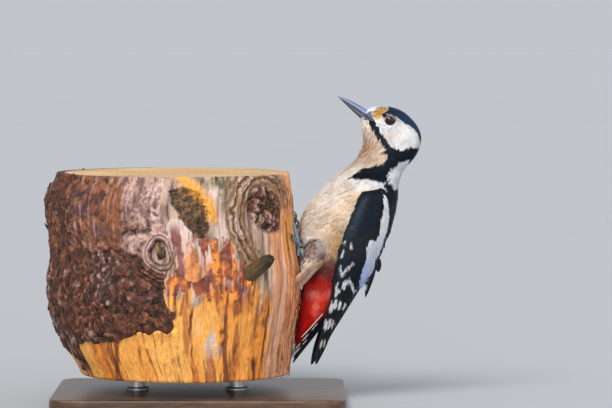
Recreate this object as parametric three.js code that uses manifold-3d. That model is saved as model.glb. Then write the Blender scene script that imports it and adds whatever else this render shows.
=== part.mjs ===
// A female great spotted woodpecker, life size, clinging to a short cut length of dead pine on a stand.
// Millimetres. +Z is up, +X points away from the log to the bird's back, and the bird's left side is at -Y.
// The origin is on the floor, under the middle of the whole piece.
import * as THREE from 'three';
import { mergeVertices } from 'three/addons/utils/BufferGeometryUtils.js';
import Module from 'manifold-3d';

const wasm = await Module();
wasm.setup();

const GAP = 0.35; // air left between two pieces that touch
const LEFT = -1;
const RIGHT = 1;
const SIDES = { left: LEFT, right: RIGHT };

// ---------------------------------------------------------------- materials

const finish = (color, roughness, metalness = 0) =>
  new THREE.MeshStandardMaterial({ color, roughness, metalness });
const MATERIALS = {
  crown: finish(0x10161f, 0.5),
  throat: finish(0xd9b899, 0.9),
  belly: finish(0xd8c3a4, 0.9),
  vent: finish(0xc4120f, 0.85),
  blackFeather: finish(0x0d0f14, 0.5),
  barredFeather: finish(0x15161a, 0.55),
  horn: finish(0x4a5058, 0.35),
  eye: finish(0x2a0c0c, 0.08),
  scaledSkin: finish(0x6e7b80, 0.6),
  claw: finish(0x2b2c2e, 0.35),
  bareWood: finish(0xb97d43, 0.8),
  bark: finish(0x6b4632, 0.95),
  standBase: finish(0x2a1d16, 0.4),
  standRod: finish(0x9a9a98, 0.3, 1),
};

// ---------------------------------------------------------------- closed solids

// Turns a geometry's faces outwards, whichever way its rings were wound.
function outward(geometry) {
  const p = geometry.attributes.position;
  const index = geometry.index.array;
  const [a, b, c] = [new THREE.Vector3(), new THREE.Vector3(), new THREE.Vector3()];
  let volume = 0;
  for (let i = 0; i < index.length; i += 3) {
    a.fromBufferAttribute(p, index[i]);
    b.fromBufferAttribute(p, index[i + 1]);
    c.fromBufferAttribute(p, index[i + 2]);
    volume += a.dot(b.cross(c));
  }
  if (volume < 0) {
    for (let i = 0; i < index.length; i += 3) {
      [index[i + 1], index[i + 2]] = [index[i + 2], index[i + 1]];
    }
  }
  return geometry;
}

// A closed tube. ring(s, a) is the point at share s of the length and angle a of the section.
// Each end is closed by rungs between the points at angles a and -a, so a thin or curved section closes too.
function tube(ring, along, around) {
  const points = [];
  for (let i = 0; i <= along; i++) {
    for (let j = 0; j < around; j++) points.push(ring(i / along, (2 * Math.PI * j) / around));
  }
  const index = [];
  for (let i = 0; i < along; i++) {
    for (let j = 0; j < around; j++) {
      const next = (j + 1) % around;
      const [p, q] = [i * around + j, i * around + next];
      const [r, t] = [q + around, p + around];
      index.push(p, q, r, p, r, t);
    }
  }
  const last = along * around;
  for (let j = 0; j < around / 2; j++) {
    const [p, q, r, t] = [j, j + 1, around - j - 1, (around - j) % around];
    if (q !== r) index.push(p, r, q, last + p, last + q, last + r);
    if (p !== t) index.push(p, t, r, last + p, last + r, last + t);
  }
  return outward(new THREE.BufferGeometry().setFromPoints(points).setIndex(index));
}

function solidOf(geometry) {
  const bare = geometry.index ? geometry.clone() : geometry;
  bare.deleteAttribute('normal');
  bare.deleteAttribute('uv');
  const merged = mergeVertices(bare, 1e-4);
  return new wasm.Manifold(
    new wasm.Mesh({
      numProp: 3,
      vertProperties: merged.attributes.position.array,
      triVerts: new Uint32Array(merged.index.array),
    }),
  );
}

function geometryOf(solid) {
  const mesh = solid.getMesh();
  return new THREE.BufferGeometry()
    .setAttribute('position', new THREE.BufferAttribute(mesh.vertProperties, 3))
    .setIndex(new THREE.BufferAttribute(mesh.triVerts, 1));
}

// The largest body of a solid, without the crumbs that a cut can leave.
function mainBody(solid) {
  return solid.decompose().reduce((best, body) => (body.volume() > best.volume() ? body : best));
}

const model = new THREE.Group();

function place(name, solid, material) {
  const mesh = new THREE.Mesh(geometryOf(mainBody(solid)), material);
  mesh.name = name;
  model.add(mesh);
}

// A smooth curve through rows of numbers, read at share s: each column gets its own spline.
function spline(rows) {
  const columns = rows[0].map((_, k) => {
    const points = rows.map((row, i) => new THREE.Vector2(i, row[k]));
    return new THREE.SplineCurve(points);
  });
  return (s) => columns.map((curve) => curve.getPoint(Math.min(1, Math.max(0, s))).y);
}

// A round limb through centres [x, y, z] with radii, the y mirrored by side.
function limb(rows, side, grow, along, around, squash = 1) {
  const at = spline(rows);
  const path = (s) => {
    const [x, y, z] = at(s);
    return new THREE.Vector3(x, side * y, z);
  };
  return tube(
    (s, a) => {
      const heading = path(s + 0.01).sub(path(s - 0.01)).normalize();
      const across = new THREE.Vector3(0, 1, 0).cross(heading).normalize();
      const beside = heading.clone().cross(across);
      const radius = at(s)[3] + grow;
      const end = (s === 0 ? -grow : 0) + (s === 1 ? grow : 0);
      return path(s)
        .addScaledVector(heading, end)
        .addScaledVector(across, radius * Math.cos(a))
        .addScaledVector(beside, squash * radius * Math.sin(a));
    },
    along,
    around,
  );
}

// ---------------------------------------------------------------- the log

const LOG = { bottom: 20, top: 164.7, barkFoot: 44, barkDepth: 4.5 };

// [height, centre x, radius] up the log: a swollen whorl of knots that narrows towards the foot.
const LOG_PROFILE = [
  [20, -35.6, 76],
  [38, -39.8, 81.7],
  [56, -41.8, 86.8],
  [74, -42.5, 90.2],
  [92, -42.2, 90.9],
  [110, -42.6, 88.8],
  [128, -44.8, 88.4],
  [146, -46.2, 88.0],
  [164.7, -43.2, 83.5],
];
const logAt = spline(LOG_PROFILE);
const shareOfHeight = (z) => (z - LOG.bottom) / (LOG.top - LOG.bottom);

// Bumps on the bare wood: [angle, height, spread, rise] of the swirling knot, its hollow and the round knot.
const KNOTS = [
  [-0.7, 137, 17, 4.5],
  [-0.68, 136, 7, -5],
  [-1.64, 109, 9, 3],
];

function knotRise(angle, z, radius) {
  return KNOTS.reduce((sum, [a, height, spread, rise]) => {
    const distance = Math.hypot((angle - a) * radius, z - height) / spread;
    return sum + rise * Math.exp(-distance * distance);
  }, 0);
}

// Height and angle of the bark's edges. Angle 0 faces the bird and -90 degrees faces the bird's left.
const BARK_ARC = { from: THREE.MathUtils.degToRad(100), to: THREE.MathUtils.degToRad(273) };

function logPoint(z, angle, lift) {
  const [, centre, radius] = logAt(shareOfHeight(z));
  return new THREE.Vector3(
    centre + (radius + lift) * Math.cos(angle),
    (radius + lift) * Math.sin(angle),
    z,
  );
}

function woodGeometry() {
  const height = LOG.top - LOG.bottom;
  return tube(
    (s, a) => {
      const z = LOG.bottom + s * height;
      const signed = a > Math.PI ? a - 2 * Math.PI : a;
      return logPoint(z, a, knotRise(signed, z, logAt(s)[2]));
    },
    13,
    36,
  );
}

// A curved sheet of bark whose lower edge hangs in tongues. Grown, it is the space the wood leaves for it.
function barkGeometry(grow) {
  const height = LOG.top - LOG.barkFoot;
  return tube(
    (s, a) => {
      const side = Math.round(Math.sin(a) * 1e6);
      const across = (1 - Math.cos(a)) / 2;
      const angle = BARK_ARC.from + across * (BARK_ARC.to - BARK_ARC.from);
      const tongue = Math.max(0, 5 * Math.sin(angle * 9)) * (1 - s);
      const ridge = 1.1 * Math.sin(angle * 17 + s * 9) - 1.1;
      const inner = -LOG.barkDepth - grow;
      const outer = grow ? 9 : ridge;
      const edge = -LOG.barkDepth / 2;
      const z = LOG.barkFoot + s * height + tongue + (s === 0 ? -grow : 0) + (s === 1 ? 2 * grow : 0);
      const aside = (grow / 90) * Math.sign(across - 0.5) * (side === 0 ? 1 : 0);
      return logPoint(z, angle + aside, side > 0 ? outer : side < 0 ? inner : edge);
    },
    6,
    36,
  );
}

const STUB = [
  [8.4, 64, 93, 6.4],
  [15.5, 73, 98.6, 5.6],
  [23.5, 82, 105.3, 4.6],
  [28, 87, 109.2, 2.9],
];
const SPLINTER = [
  [41, 17, 81, 4.4],
  [49, 28.5, 90, 4.2],
  [56, 34.5, 96.6, 3.1],
  [64.5, 36.5, 102.7, 1],
];

// ---------------------------------------------------------------- head, neck and trunk

// One closed form from the undertail coverts to the bill: [back x, back z, belly x, belly z, half width].
const FLESH = {
  covertTip: [47.5, 41.5, 45.2, 43, 2.5],
  undertailCoverts: [55.5, 48.5, 47.5, 57.5, 8.5],
  vent: [66, 60.5, 49, 70.5, 15],
  rump: [78.5, 75.5, 51.2, 84, 20],
  lowerBelly: [90.5, 88, 52, 98, 23.5],
  belly: [101, 102, 49.5, 111.5, 25.5],
  keel: [109.5, 116.5, 47.5, 124.5, 26.5],
  breast: [114.5, 131.5, 51, 136, 26],
  upperBreast: [117, 144, 60.5, 149.5, 23.5],
  shoulder: [118, 153, 73.5, 162, 19.5],
  neckBase: [119.5, 161, 85, 171, 15.5],
  throat: [124, 169, 92, 180, 13.8],
  jaw: [131, 177, 94, 187, 14.2],
  ear: [134.5, 188, 93, 194.5, 15],
  cheek: [131.5, 198, 91.5, 198.5, 14.9],
  eye: [123, 207, 91.2, 200.4, 13.2],
  brow: [114, 211.2, 91.2, 201.4, 10.6],
  forehead: [105, 212.2, 91.4, 202, 8],
  lores: [99.5, 211, 91.8, 202.3, 6.3],
  billRoot: [96.9, 209.7, 92.2, 202.6, 5],
};
const stations = Object.keys(FLESH);
const fleshAt = spline(Object.values(FLESH));
const stationOf = (name) => stations.indexOf(name) / (stations.length - 1);

// The section at share s is an ellipse between the line of the back and the line of the belly.
function fleshPoint(s, a) {
  const [backX, backZ, bellyX, bellyZ, half] = fleshAt(s);
  const back = new THREE.Vector3(backX, 0, backZ);
  const belly = new THREE.Vector3(bellyX, 0, bellyZ);
  const middle = back.clone().add(belly).multiplyScalar(0.5);
  const up = back.sub(belly).multiplyScalar(0.5);
  return middle.addScaledVector(up, Math.cos(a)).add(new THREE.Vector3(0, half * Math.sin(a), 0));
}

// The length of the form between two stations, short of each by half a cut.
function fleshBetween(from, to, along) {
  const cut = 0.025 / (stations.length - 1);
  const start = stationOf(from) + (from === stations[0] ? 0 : cut);
  const end = stationOf(to) - (to === stations.at(-1) ? 0 : cut);
  return solidOf(tube((s, a) => fleshPoint(start + s * (end - start), a), along, 20));
}

// ---------------------------------------------------------------- wings

// From shoulder to tip:
// [leading x, leading z, leading out, middle out, trailing x, trailing z, trailing out, thickness].
// "Out" is the distance from the bird's middle plane.
const WING = [
  [99.5, 153, 22, 21.5, 107, 154, 17, 4],
  [93.5, 149.5, 25, 24.5, 110.5, 147.5, 14, 5],
  [88.5, 139.5, 27, 26, 112, 137.5, 13, 5.5],
  [83.5, 126.5, 28.5, 26.8, 110.5, 126, 12.5, 5.5],
  [79, 113.5, 28.5, 26.5, 106.5, 113.5, 12.5, 5],
  [75.5, 100, 27, 25.5, 101, 100.5, 12.5, 4.4],
  [72.5, 86.5, 24.5, 23.5, 93.5, 85.5, 12.8, 3.6],
  [70, 73.5, 21, 20.5, 85.5, 72.5, 12.8, 2.8],
  [66, 60.5, 17.5, 17.2, 78, 60.5, 12.3, 2.2],
  [62.5, 48, 14.5, 14.6, 70, 47.5, 11.8, 1.8],
  [59.5, 36.5, 12.6, 12.6, 65, 36.5, 11.4, 1.4],
  [58.2, 27, 11.5, 11.5, 59.6, 26.5, 11.2, 0.9],
];
const wingAt = spline(WING);

// A thin curved blade: the outer face runs from the leading edge over the middle to the trailing edge.
function wingRing(side, grow) {
  return (s, a) => {
    const spread = TIP_SPREAD[side] * s ** 5;
    const [lx, lz, lOut, mOut, tx, tz, tOut, thick] = wingAt(s);
    const v = (1 + Math.cos(a)) / 2;
    const arch = 4 * v * (1 - v) * (mOut - (lOut + tOut) / 2);
    const out = lOut + v * (tOut - lOut) + arch;
    const width = Math.hypot(tx - lx, tOut - lOut);
    const facing = new THREE.Vector3(lOut - tOut, 0, 0).multiplyScalar(1 / width);
    const normal = new THREE.Vector3(facing.x, side * (Math.abs(tx - lx) / width), 0).normalize();
    const across = new THREE.Vector3(tx - lx, side * (tOut - lOut), tz - lz).normalize();
    const depth = Math.sin(a) < 0 ? -thick * Math.pow(-Math.sin(a), 0.6) - grow : grow;
    const beyond = (s === 0 ? 2 * grow : 0) - (s === 1 ? grow : 0);
    const x = lx + v * (tx - lx) - spread;
    const z = lz + v * (tz - lz) + beyond - 0.8 * spread;
    return new THREE.Vector3(x, side * out, z)
      .addScaledVector(normal, depth)
      .addScaledVector(across, grow * Math.cos(a));
  };
}

// The wing's length is built in equal steps, and its parts meet at whole steps.
const WING_STEPS = 20;
const WING_PARTS = { coverts: [0, 9], secondaries: [9, 13], primaries: [13, 20] };
const TIP_SPREAD = { [LEFT]: 0, [RIGHT]: 3.4 }; // the right wing hangs open a little further than the left

function wingPart(side, [from, to]) {
  const cut = 0.0014;
  const start = from / WING_STEPS + (from > 0 ? cut : 0);
  const end = to / WING_STEPS - (to < WING_STEPS ? cut : 0);
  const ring = wingRing(side, 0);
  return solidOf(tube((s, a) => ring(start + s * (end - start), a), to - from, 12));
}

const grownWing = (side) => solidOf(tube(wingRing(side, GAP), WING_STEPS, 12));

// The innermost feathers of the right wing, which stand off behind the back.
// Root, middle and tip of each as x, y, z, half width.
const LOOSE_TERTIALS = {
  long: [
    [101.2, 15, 99.5, 2.6],
    [98.5, 16.5, 88, 2.8],
    [95, 17.3, 73.2, 0.7],
  ],
  short: [
    [103.4, 11.6, 101, 2.4],
    [104, 12.4, 96, 2.5],
    [104.2, 13.2, 91.6, 0.7],
  ],
};

// ---------------------------------------------------------------- tail

const TAIL = {
  pairs: 5,
  rootX: 87,
  rootZ: 84,
  bendX: 60.8,
  bendZ: 50.6,
  tipX: 42.6,
  tipZ: 27.4,
  thick: 0.62,
  layer: 1.05,
  arch: 3,
};
const tailLine = new THREE.QuadraticBezierCurve3(
  new THREE.Vector3(TAIL.rootX, 0, TAIL.rootZ),
  new THREE.Vector3(TAIL.bendX, 0, TAIL.bendZ),
  new THREE.Vector3(TAIL.tipX, 0, TAIL.tipZ),
);
// Share of the central pair's length, from the middle outwards.
const RECTRIX_LENGTH = [1, 0.955, 0.895, 0.81, 0.7];
const pairs = [...Array(TAIL.pairs).keys()];
const RECTRIX_START = 0.16; // they leave the rump here

// Where a tail feather's middle lies at share t of the tail, and half its width. Each lies under the last.
function rectrixAt(pair, t) {
  const s = THREE.MathUtils.clamp((t - RECTRIX_START) / (RECTRIX_LENGTH[pair] - RECTRIX_START), 0, 1);
  const out = THREE.MathUtils.lerp(2.6 + 0.9 * pair, 4.4 + 2.5 * pair, s);
  const half = 4 * Math.min(1, 0.55 + s) * Math.pow(1 - 0.93 * Math.pow(s, 5), 0.8);
  const layer = pair * TAIL.layer + TAIL.arch * (out / 14) ** 2;
  return { out, half: Math.min(half, out - GAP / 2), layer };
}

function tailPoint(t, out, layer) {
  const heading = tailLine.getTangent(t);
  return tailLine.getPoint(t).addScaledVector(new THREE.Vector3(heading.z, 0, -heading.x), layer).setY(out);
}

// A stiff pointed feather, flat in section, in its layer of the fan.
function rectrix(pair, side) {
  return solidOf(
    tube(
      (s, a) => {
        const t = RECTRIX_START + s * (RECTRIX_LENGTH[pair] - RECTRIX_START);
        const { out, half, layer } = rectrixAt(pair, t);
        return tailPoint(t, side * (out + half * Math.cos(a)), layer + (TAIL.thick / 2) * Math.sin(a));
      },
      6,
      6,
    ),
  );
}

// The room that the undertail leaves for the whole fan.
function tailSpace() {
  return solidOf(
    tube(
      (s, a) => {
        const t = RECTRIX_START - 0.02 + s;
        const widest = rectrixAt(TAIL.pairs - 1, t);
        const out = (widest.out + 6) * Math.cos(a);
        const layers = pairs
          .map((pair) => rectrixAt(pair, t))
          .filter((feather) => Math.abs(Math.abs(out) - feather.out) < 6.2)
          .map((feather) => feather.layer);
        const layer = Math.sin(a) < 0 ? Math.min(...layers) - 1 : Math.max(...layers) + 1;
        return tailPoint(t, out, layer);
      },
      5,
      16,
    ),
  );
}

// ---------------------------------------------------------------- bill and eyes

// Root and tip of the ridge, of the line where the mandibles meet and of the underside, and their bulges.
const BILL = {
  ridge: { root: [96.4, 209.6], bulge: 1.15 },
  seam: { root: [94.1, 206.2] },
  underside: { root: [91.9, 202.9], bulge: 0.2 },
  tip: [74.2, 219.5],
  halfWidth: 4.3,
};

function mandible(isUpper) {
  const edge = isUpper ? BILL.ridge : BILL.underside;
  const lift = isUpper ? GAP / 4 : -GAP / 4;
  const tip = new THREE.Vector3(BILL.tip[0], 0, BILL.tip[1]);
  return solidOf(
    tube(
      (s, a) => {
        const reach = s * (isUpper ? 0.995 : 0.965);
        const seam = new THREE.Vector3(BILL.seam.root[0], 0, BILL.seam.root[1]).lerp(tip, reach);
        const far = new THREE.Vector3(edge.root[0], 0, edge.root[1]).lerp(tip, reach);
        const up = far.clone().sub(seam);
        const outwards = up.clone().normalize();
        far.addScaledVector(outwards, edge.bulge * 4 * reach * (1 - reach));
        const height = Math.max(0.45, far.distanceTo(seam));
        const half = BILL.halfWidth * Math.pow(1 - reach, 0.75) * 0.93 + 0.45;
        const rise = Math.sin(a) > 0 ? height * Math.pow(Math.sin(a), 0.8) : 0;
        return seam
          .addScaledVector(outwards, rise)
          .add(new THREE.Vector3(0, half * Math.cos(a), 0))
          .addScaledVector(new THREE.Vector3(0.53, 0, 0.85), lift);
      },
      8,
      10,
    ),
  );
}

const EYE = { x: 112, z: 202.1, out: 9.5, radius: 4.6 };

function eyeball(side, grow) {
  const geometry = new THREE.SphereGeometry(EYE.radius + grow, 12, 8);
  geometry.translate(EYE.x, side * EYE.out, EYE.z);
  return solidOf(geometry);
}

// ---------------------------------------------------------------- legs

const THIGH = [
  [71, 13, 114.5, 8],
  [64, 17, 111.5, 8.2],
  [58.5, 21.4, 106.5, 7],
  [54.5, 25.4, 99.8, 3.6],
];
const SHANK = [
  [54, 26.2, 99, 2],
  [51.2, 22.6, 104.6, 1.6],
  [48.4, 18.4, 110.4, 1.7],
];
const FOOT = { height: 113, out: 16.5, padRadius: 2.2, toeRadius: 1.35 };
// Direction on the bark from straight up, outwards positive, and length of each toe, numbered as on a bird.
const TOES = { 1: [165, 8], 2: [-16, 12.5], 3: [5, 17], 4: [62, 15.5] };
const CLAW = { length: 7.4, rise: 2, radius: 0.95 };

// A point of the log's face beside the foot: out from the middle plane, at a height, lifted off the wood.
function onLog(side, out, z, lift) {
  const radius = logAt(shareOfHeight(z))[2];
  return logPoint(z, (side * out) / radius, lift);
}

// Path of a toe with its claw: distance d from the pad along the toe's direction.
function toePoint(side, angle, d, lift) {
  const turn = THREE.MathUtils.degToRad(angle);
  return onLog(side, FOOT.out + d * Math.sin(turn), FOOT.height + d * Math.cos(turn), lift);
}

// A tube that keeps its section square to a path given as a function of share s.
function pathTube(path, radiusAt, along, around) {
  return tube(
    (s, a) => {
      const heading = path(Math.min(1, s + 0.02)).sub(path(Math.max(0, s - 0.02))).normalize();
      const off = new THREE.Vector3(1, 0, 0).addScaledVector(heading, -heading.x).normalize();
      const beside = heading.clone().cross(off);
      const radius = radiusAt(s);
      const point = path(s).addScaledVector(off, radius * Math.cos(a));
      return point.addScaledVector(beside, radius * Math.sin(a));
    },
    along,
    around,
  );
}

function foot(side, grow) {
  const lift = FOOT.padRadius + GAP;
  const pad = new THREE.SphereGeometry(FOOT.padRadius + grow, 8, 6);
  const centre = onLog(side, FOOT.out, FOOT.height, lift);
  pad.translate(centre.x, centre.y, centre.z);
  let whole = solidOf(pad);
  for (const [angle, length] of Object.values(TOES)) {
    const radius = (s) => FOOT.toeRadius * (1 - 0.22 * s) + grow;
    const sink = FOOT.padRadius - FOOT.toeRadius * 0.78;
    const path = (s) => toePoint(side, angle, s * (length + grow), lift - s * sink);
    whole = whole.add(solidOf(pathTube(path, radius, 4, 6)));
  }
  return whole;
}

function claw(side, [angle, length]) {
  const start = length - 0.5;
  const path = (s) => {
    const arch = 4 * s * (1 - s) * CLAW.rise;
    const height = THREE.MathUtils.lerp(FOOT.toeRadius + 0.4, 0.7, s * s);
    return toePoint(side, angle, start + s * CLAW.length, height + arch);
  };
  return solidOf(pathTube(path, (s) => CLAW.radius * (1 - 0.72 * s), 4, 6));
}

// ---------------------------------------------------------------- stand

const STAND = { length: 209, width: 156, thick: 8, corner: 14, bevel: 1.5, centreX: -24.5 };
const ROD = { radius: 6, at: [-70, 2], inBase: 4, inLog: 12 };

function standBase() {
  const [x, y, r] = [STAND.length / 2 - STAND.bevel, STAND.width / 2 - STAND.bevel, STAND.corner];
  const outline = new THREE.Shape();
  outline.moveTo(-x + r, -y);
  outline.absarc(x - r, -y + r, r, -Math.PI / 2, 0);
  outline.absarc(x - r, y - r, r, 0, Math.PI / 2);
  outline.absarc(-x + r, y - r, r, Math.PI / 2, Math.PI);
  outline.absarc(-x + r, -y + r, r, Math.PI, 1.5 * Math.PI);
  const geometry = new THREE.ExtrudeGeometry(outline, {
    depth: STAND.thick - 2 * STAND.bevel,
    bevelThickness: STAND.bevel,
    bevelSize: STAND.bevel,
    bevelSegments: 1,
    curveSegments: 4,
  });
  geometry.translate(STAND.centreX, 0, STAND.bevel);
  return solidOf(geometry);
}

function rod(x, grow) {
  const low = STAND.thick - ROD.inBase - grow;
  const high = LOG.bottom + ROD.inLog + grow;
  const geometry = new THREE.CylinderGeometry(ROD.radius + grow, ROD.radius + grow, high - low, 16);
  geometry.rotateX(Math.PI / 2);
  geometry.translate(x, 0, (low + high) / 2);
  return solidOf(geometry);
}

// ---------------------------------------------------------------- assembly

const cutBy = (solid, tools) => tools.reduce((left, tool) => left.subtract(tool), solid);
const thigh = (side, grow) => solidOf(limb(THIGH, side, grow, 7, 12));
const shank = (side, grow) => solidOf(limb(SHANK, side, grow, 4, 8));
const both = (make) => [make(LEFT), make(RIGHT)];

const wings = both(grownWing);
const thighs = both((side) => thigh(side, GAP));
const eyes = both((side) => eyeball(side, GAP));

place('head', cutBy(fleshBetween('jaw', 'billRoot', 11), eyes), MATERIALS.crown);
place('neck', cutBy(fleshBetween('shoulder', 'jaw', 5), wings), MATERIALS.throat);
place('trunk', cutBy(fleshBetween('rump', 'shoulder', 8), [...wings, ...thighs]), MATERIALS.belly);
place('vent', cutBy(fleshBetween('covertTip', 'rump', 6), [...wings, tailSpace()]), MATERIALS.vent);
place('bill_upper', mandible(true), MATERIALS.horn);
place('bill_lower', mandible(false), MATERIALS.horn);

for (const [name, side] of Object.entries(SIDES)) {
  place(`eye_${name}`, eyeball(side, 0), MATERIALS.eye);
  for (const [part, range] of Object.entries(WING_PARTS)) {
    const material = part === 'coverts' ? MATERIALS.blackFeather : MATERIALS.barredFeather;
    place(`wing_${name}_${part}`, wingPart(side, range), material);
  }
  for (const pair of pairs) place(`tail_${name}_${pair + 1}`, rectrix(pair, side), MATERIALS.barredFeather);
  place(`thigh_${name}`, cutBy(thigh(side, 0), [shank(side, GAP), ...wings]), MATERIALS.belly);
  place(`shank_${name}`, cutBy(shank(side, 0), [foot(side, GAP)]), MATERIALS.scaledSkin);
  place(`foot_${name}`, foot(side, 0), MATERIALS.scaledSkin);
  for (const [toe, shape] of Object.entries(TOES)) {
    place(`claw_${name}_${toe}`, cutBy(claw(side, shape), [foot(side, GAP)]), MATERIALS.claw);
  }
}
for (const [name, rows] of Object.entries(LOOSE_TERTIALS)) {
  const blade = solidOf(limb(rows, RIGHT, 0, 6, 8, 0.3));
  place(`wing_right_tertial_${name}`, cutBy(blade, wings), MATERIALS.blackFeather);
}

const rods = ROD.at.map((x) => rod(x, GAP));
const stub = (grow) => solidOf(limb(STUB, LEFT, grow, 5, 10));
const splinter = (grow) => solidOf(limb(SPLINTER, LEFT, grow, 5, 8, 0.7));
const underBark = solidOf(barkGeometry(GAP));
const woodCutters = [...rods, underBark, stub(GAP), splinter(GAP)];
place('perch_wood', cutBy(solidOf(woodGeometry()), woodCutters), MATERIALS.bareWood);
place('perch_bark', solidOf(barkGeometry(0)), MATERIALS.bark);
place('perch_stub', stub(0), MATERIALS.bareWood);
place('perch_splinter', splinter(0), MATERIALS.bareWood);
place('stand_base', cutBy(standBase(), rods), MATERIALS.standBase);
ROD.at.forEach((x, i) => place(`stand_rod_${i + 1}`, rod(x, 0), MATERIALS.standRod));

export default model;
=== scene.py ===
import math
import bmesh
import bpy
import numpy as np
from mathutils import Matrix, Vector
from mathutils.bvhtree import BVHTree


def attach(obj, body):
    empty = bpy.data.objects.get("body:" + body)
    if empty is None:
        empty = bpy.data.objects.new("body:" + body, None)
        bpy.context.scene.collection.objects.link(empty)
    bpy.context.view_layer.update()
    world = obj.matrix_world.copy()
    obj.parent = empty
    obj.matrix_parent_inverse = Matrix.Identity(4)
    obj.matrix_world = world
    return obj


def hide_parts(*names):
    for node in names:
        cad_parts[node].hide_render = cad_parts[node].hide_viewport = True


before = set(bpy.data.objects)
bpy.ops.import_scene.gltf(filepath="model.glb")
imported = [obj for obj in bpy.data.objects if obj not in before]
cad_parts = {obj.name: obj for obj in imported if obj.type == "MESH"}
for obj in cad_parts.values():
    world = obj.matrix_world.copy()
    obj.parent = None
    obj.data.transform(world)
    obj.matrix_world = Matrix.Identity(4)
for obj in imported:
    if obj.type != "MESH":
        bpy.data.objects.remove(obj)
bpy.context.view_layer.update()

mm = 0.001
leftSide, rightSide = -1, 1  # the bird's own left is towards -Y
sides = {"left": leftSide, "right": rightSide}
viewpoint = {"aimX": 51.84, "aimZ": 141.7, "distance": 2500, "elevation": 3, "fall": 0.0523, "sensor": 36,
    "lens": 204.3}


# lengths are millimetres until they become an object's points
def buildObject(name, points, quads=(), tris=(), material=None, tint=None, bakeUv=None, vaneUv=None,
        closed=False):
    points = np.asarray(points, float).reshape(-1, 3)
    quads = np.asarray(quads, int).reshape(-1, 4)
    tris = np.asarray(tris, int).reshape(-1, 3)
    loops = np.concatenate([quads.ravel(), tris.ravel()])
    starts = np.concatenate([np.arange(len(quads)) * 4, len(quads) * 4 + np.arange(len(tris)) * 3])
    mesh = bpy.data.meshes.new(name)
    mesh.vertices.add(len(points))
    mesh.vertices.foreach_set("co", (points * mm).astype(np.float32).ravel())
    mesh.loops.add(len(loops))
    mesh.loops.foreach_set("vertex_index", loops.astype(np.int32))
    mesh.polygons.add(len(starts))
    mesh.polygons.foreach_set("loop_start", starts.astype(np.int32))
    mesh.polygons.foreach_set("use_smooth", np.ones(len(starts), bool))
    mesh.update(calc_edges=True)
    if tint is not None:
        paint(mesh, np.asarray(tint).reshape(-1, 3))
    for layer, uv in (("OFBake", bakeUv), ("vane", vaneUv)):
        if uv is not None:
            mesh.uv_layers.new(name=layer).data.foreach_set("uv", np.asarray(uv, np.float32)[loops].ravel())
    if closed:  # faces turned outwards
        solid = bmesh.new()
        solid.from_mesh(mesh)
        bmesh.ops.recalc_face_normals(solid, faces=solid.faces)
        solid.to_mesh(mesh)
        solid.free()
    piece = bpy.data.objects.new(name, mesh)
    bpy.context.collection.objects.link(piece)
    if material:
        mesh.materials.append(material)
    return piece


def paint(mesh, tint):
    rgba = np.ones((len(mesh.vertices), 4), np.float32)
    rgba[:len(tint), :3] = tint
    if len(tint) == len(mesh.vertices) - 2:  # the middle points of two closed ends
        rgba[-2:, :3] = tint[0], tint[-1]
    mesh.attributes.new("tint", "FLOAT_COLOR", "POINT").data.foreach_set("color", rgba.ravel())


def finishPiece(piece, slot, *nodes):
    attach(piece, "root")
    if nodes:
        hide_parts(*nodes)
    return piece


def fullTurn(count):
    return np.linspace(0, 2 * math.pi, count, endpoint=False)


# rows x columns points, the columns going round when closed
def gridFaces(rows, columns, closed=False, start=0):
    wide = columns if closed else columns - 1
    i, j = np.meshgrid(np.arange(rows - 1), np.arange(wide), indexing="ij")
    next = (j + 1) % columns
    return start + np.stack([i * columns + j, i * columns + next, (i + 1) * columns + next,
        (i + 1) * columns + j], -1).reshape(-1, 4)


# rings of points, closed at each end round a middle point
def capped(rings):
    rows, around = rings.shape[:2]
    j = np.arange(around)
    n = (j + 1) % around
    first, last = rows * around, (rows - 1) * around
    tris = np.vstack([np.stack([0 * j + first, n, j], -1), np.stack([0 * j + first + 1, last + j, last + n],
        -1)])
    return np.vstack([rings.reshape(-1, 3), rings[0].mean(0), rings[-1].mean(0)]), gridFaces(rows, around,
        True), tris


# two sheets of points joined round their rim
def slab(top, low):
    rows, columns = top.shape[:2]
    n = rows * columns
    index = np.arange(n).reshape(rows, columns)
    rim = np.concatenate([index[:, 0], index[-1, 1:], index[-2::-1, -1], index[0, -2:0:-1]])
    after = np.roll(rim, -1)
    faces = [gridFaces(rows, columns), gridFaces(rows, columns, start=n)[:, ::-1],
        np.stack([rim, after, after + n, rim + n], -1)]
    return np.vstack([top.reshape(-1, 3), low.reshape(-1, 3)]), np.vstack(faces)


def spline(rows):
    rows = np.array(rows, float)
    last = len(rows) - 1

    def at(s):
        s = np.asarray(s, float)
        t = np.clip(s, 0, 1) * last
        i = np.minimum(t.astype(int), last - 1)
        w = (t - i)[..., None]
        before, p, q, after = rows[np.maximum(i - 1, 0)], rows[i], rows[i
            + 1], rows[np.minimum(i + 2, last)]
        v0, v1 = (q - before) / 2, (after - p) / 2
        value = (2 * p - 2 * q + v0 + v1) * w ** 3 + (3 * q - 3 * p - 2 * v0 - v1) * w ** 2 + v0 * w + p
        beyond = (s * last - t)[..., None]  # a straight run past either end
        return value + beyond * np.where(beyond < 0, rows[1] - rows[0], rows[-1] - rows[-2])

    return at


def unit(v):
    return v / np.maximum(np.linalg.norm(v, axis=-1, keepdims=True), 1e-9)


def slopes(surface, s, a):
    step = 1e-3
    alongS = (surface(s + step, a) - surface(s - step, a)) / (2 * step)
    alongA = (surface(s, a + step) - surface(s, a - step)) / (2 * step)
    return alongS, alongA


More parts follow.
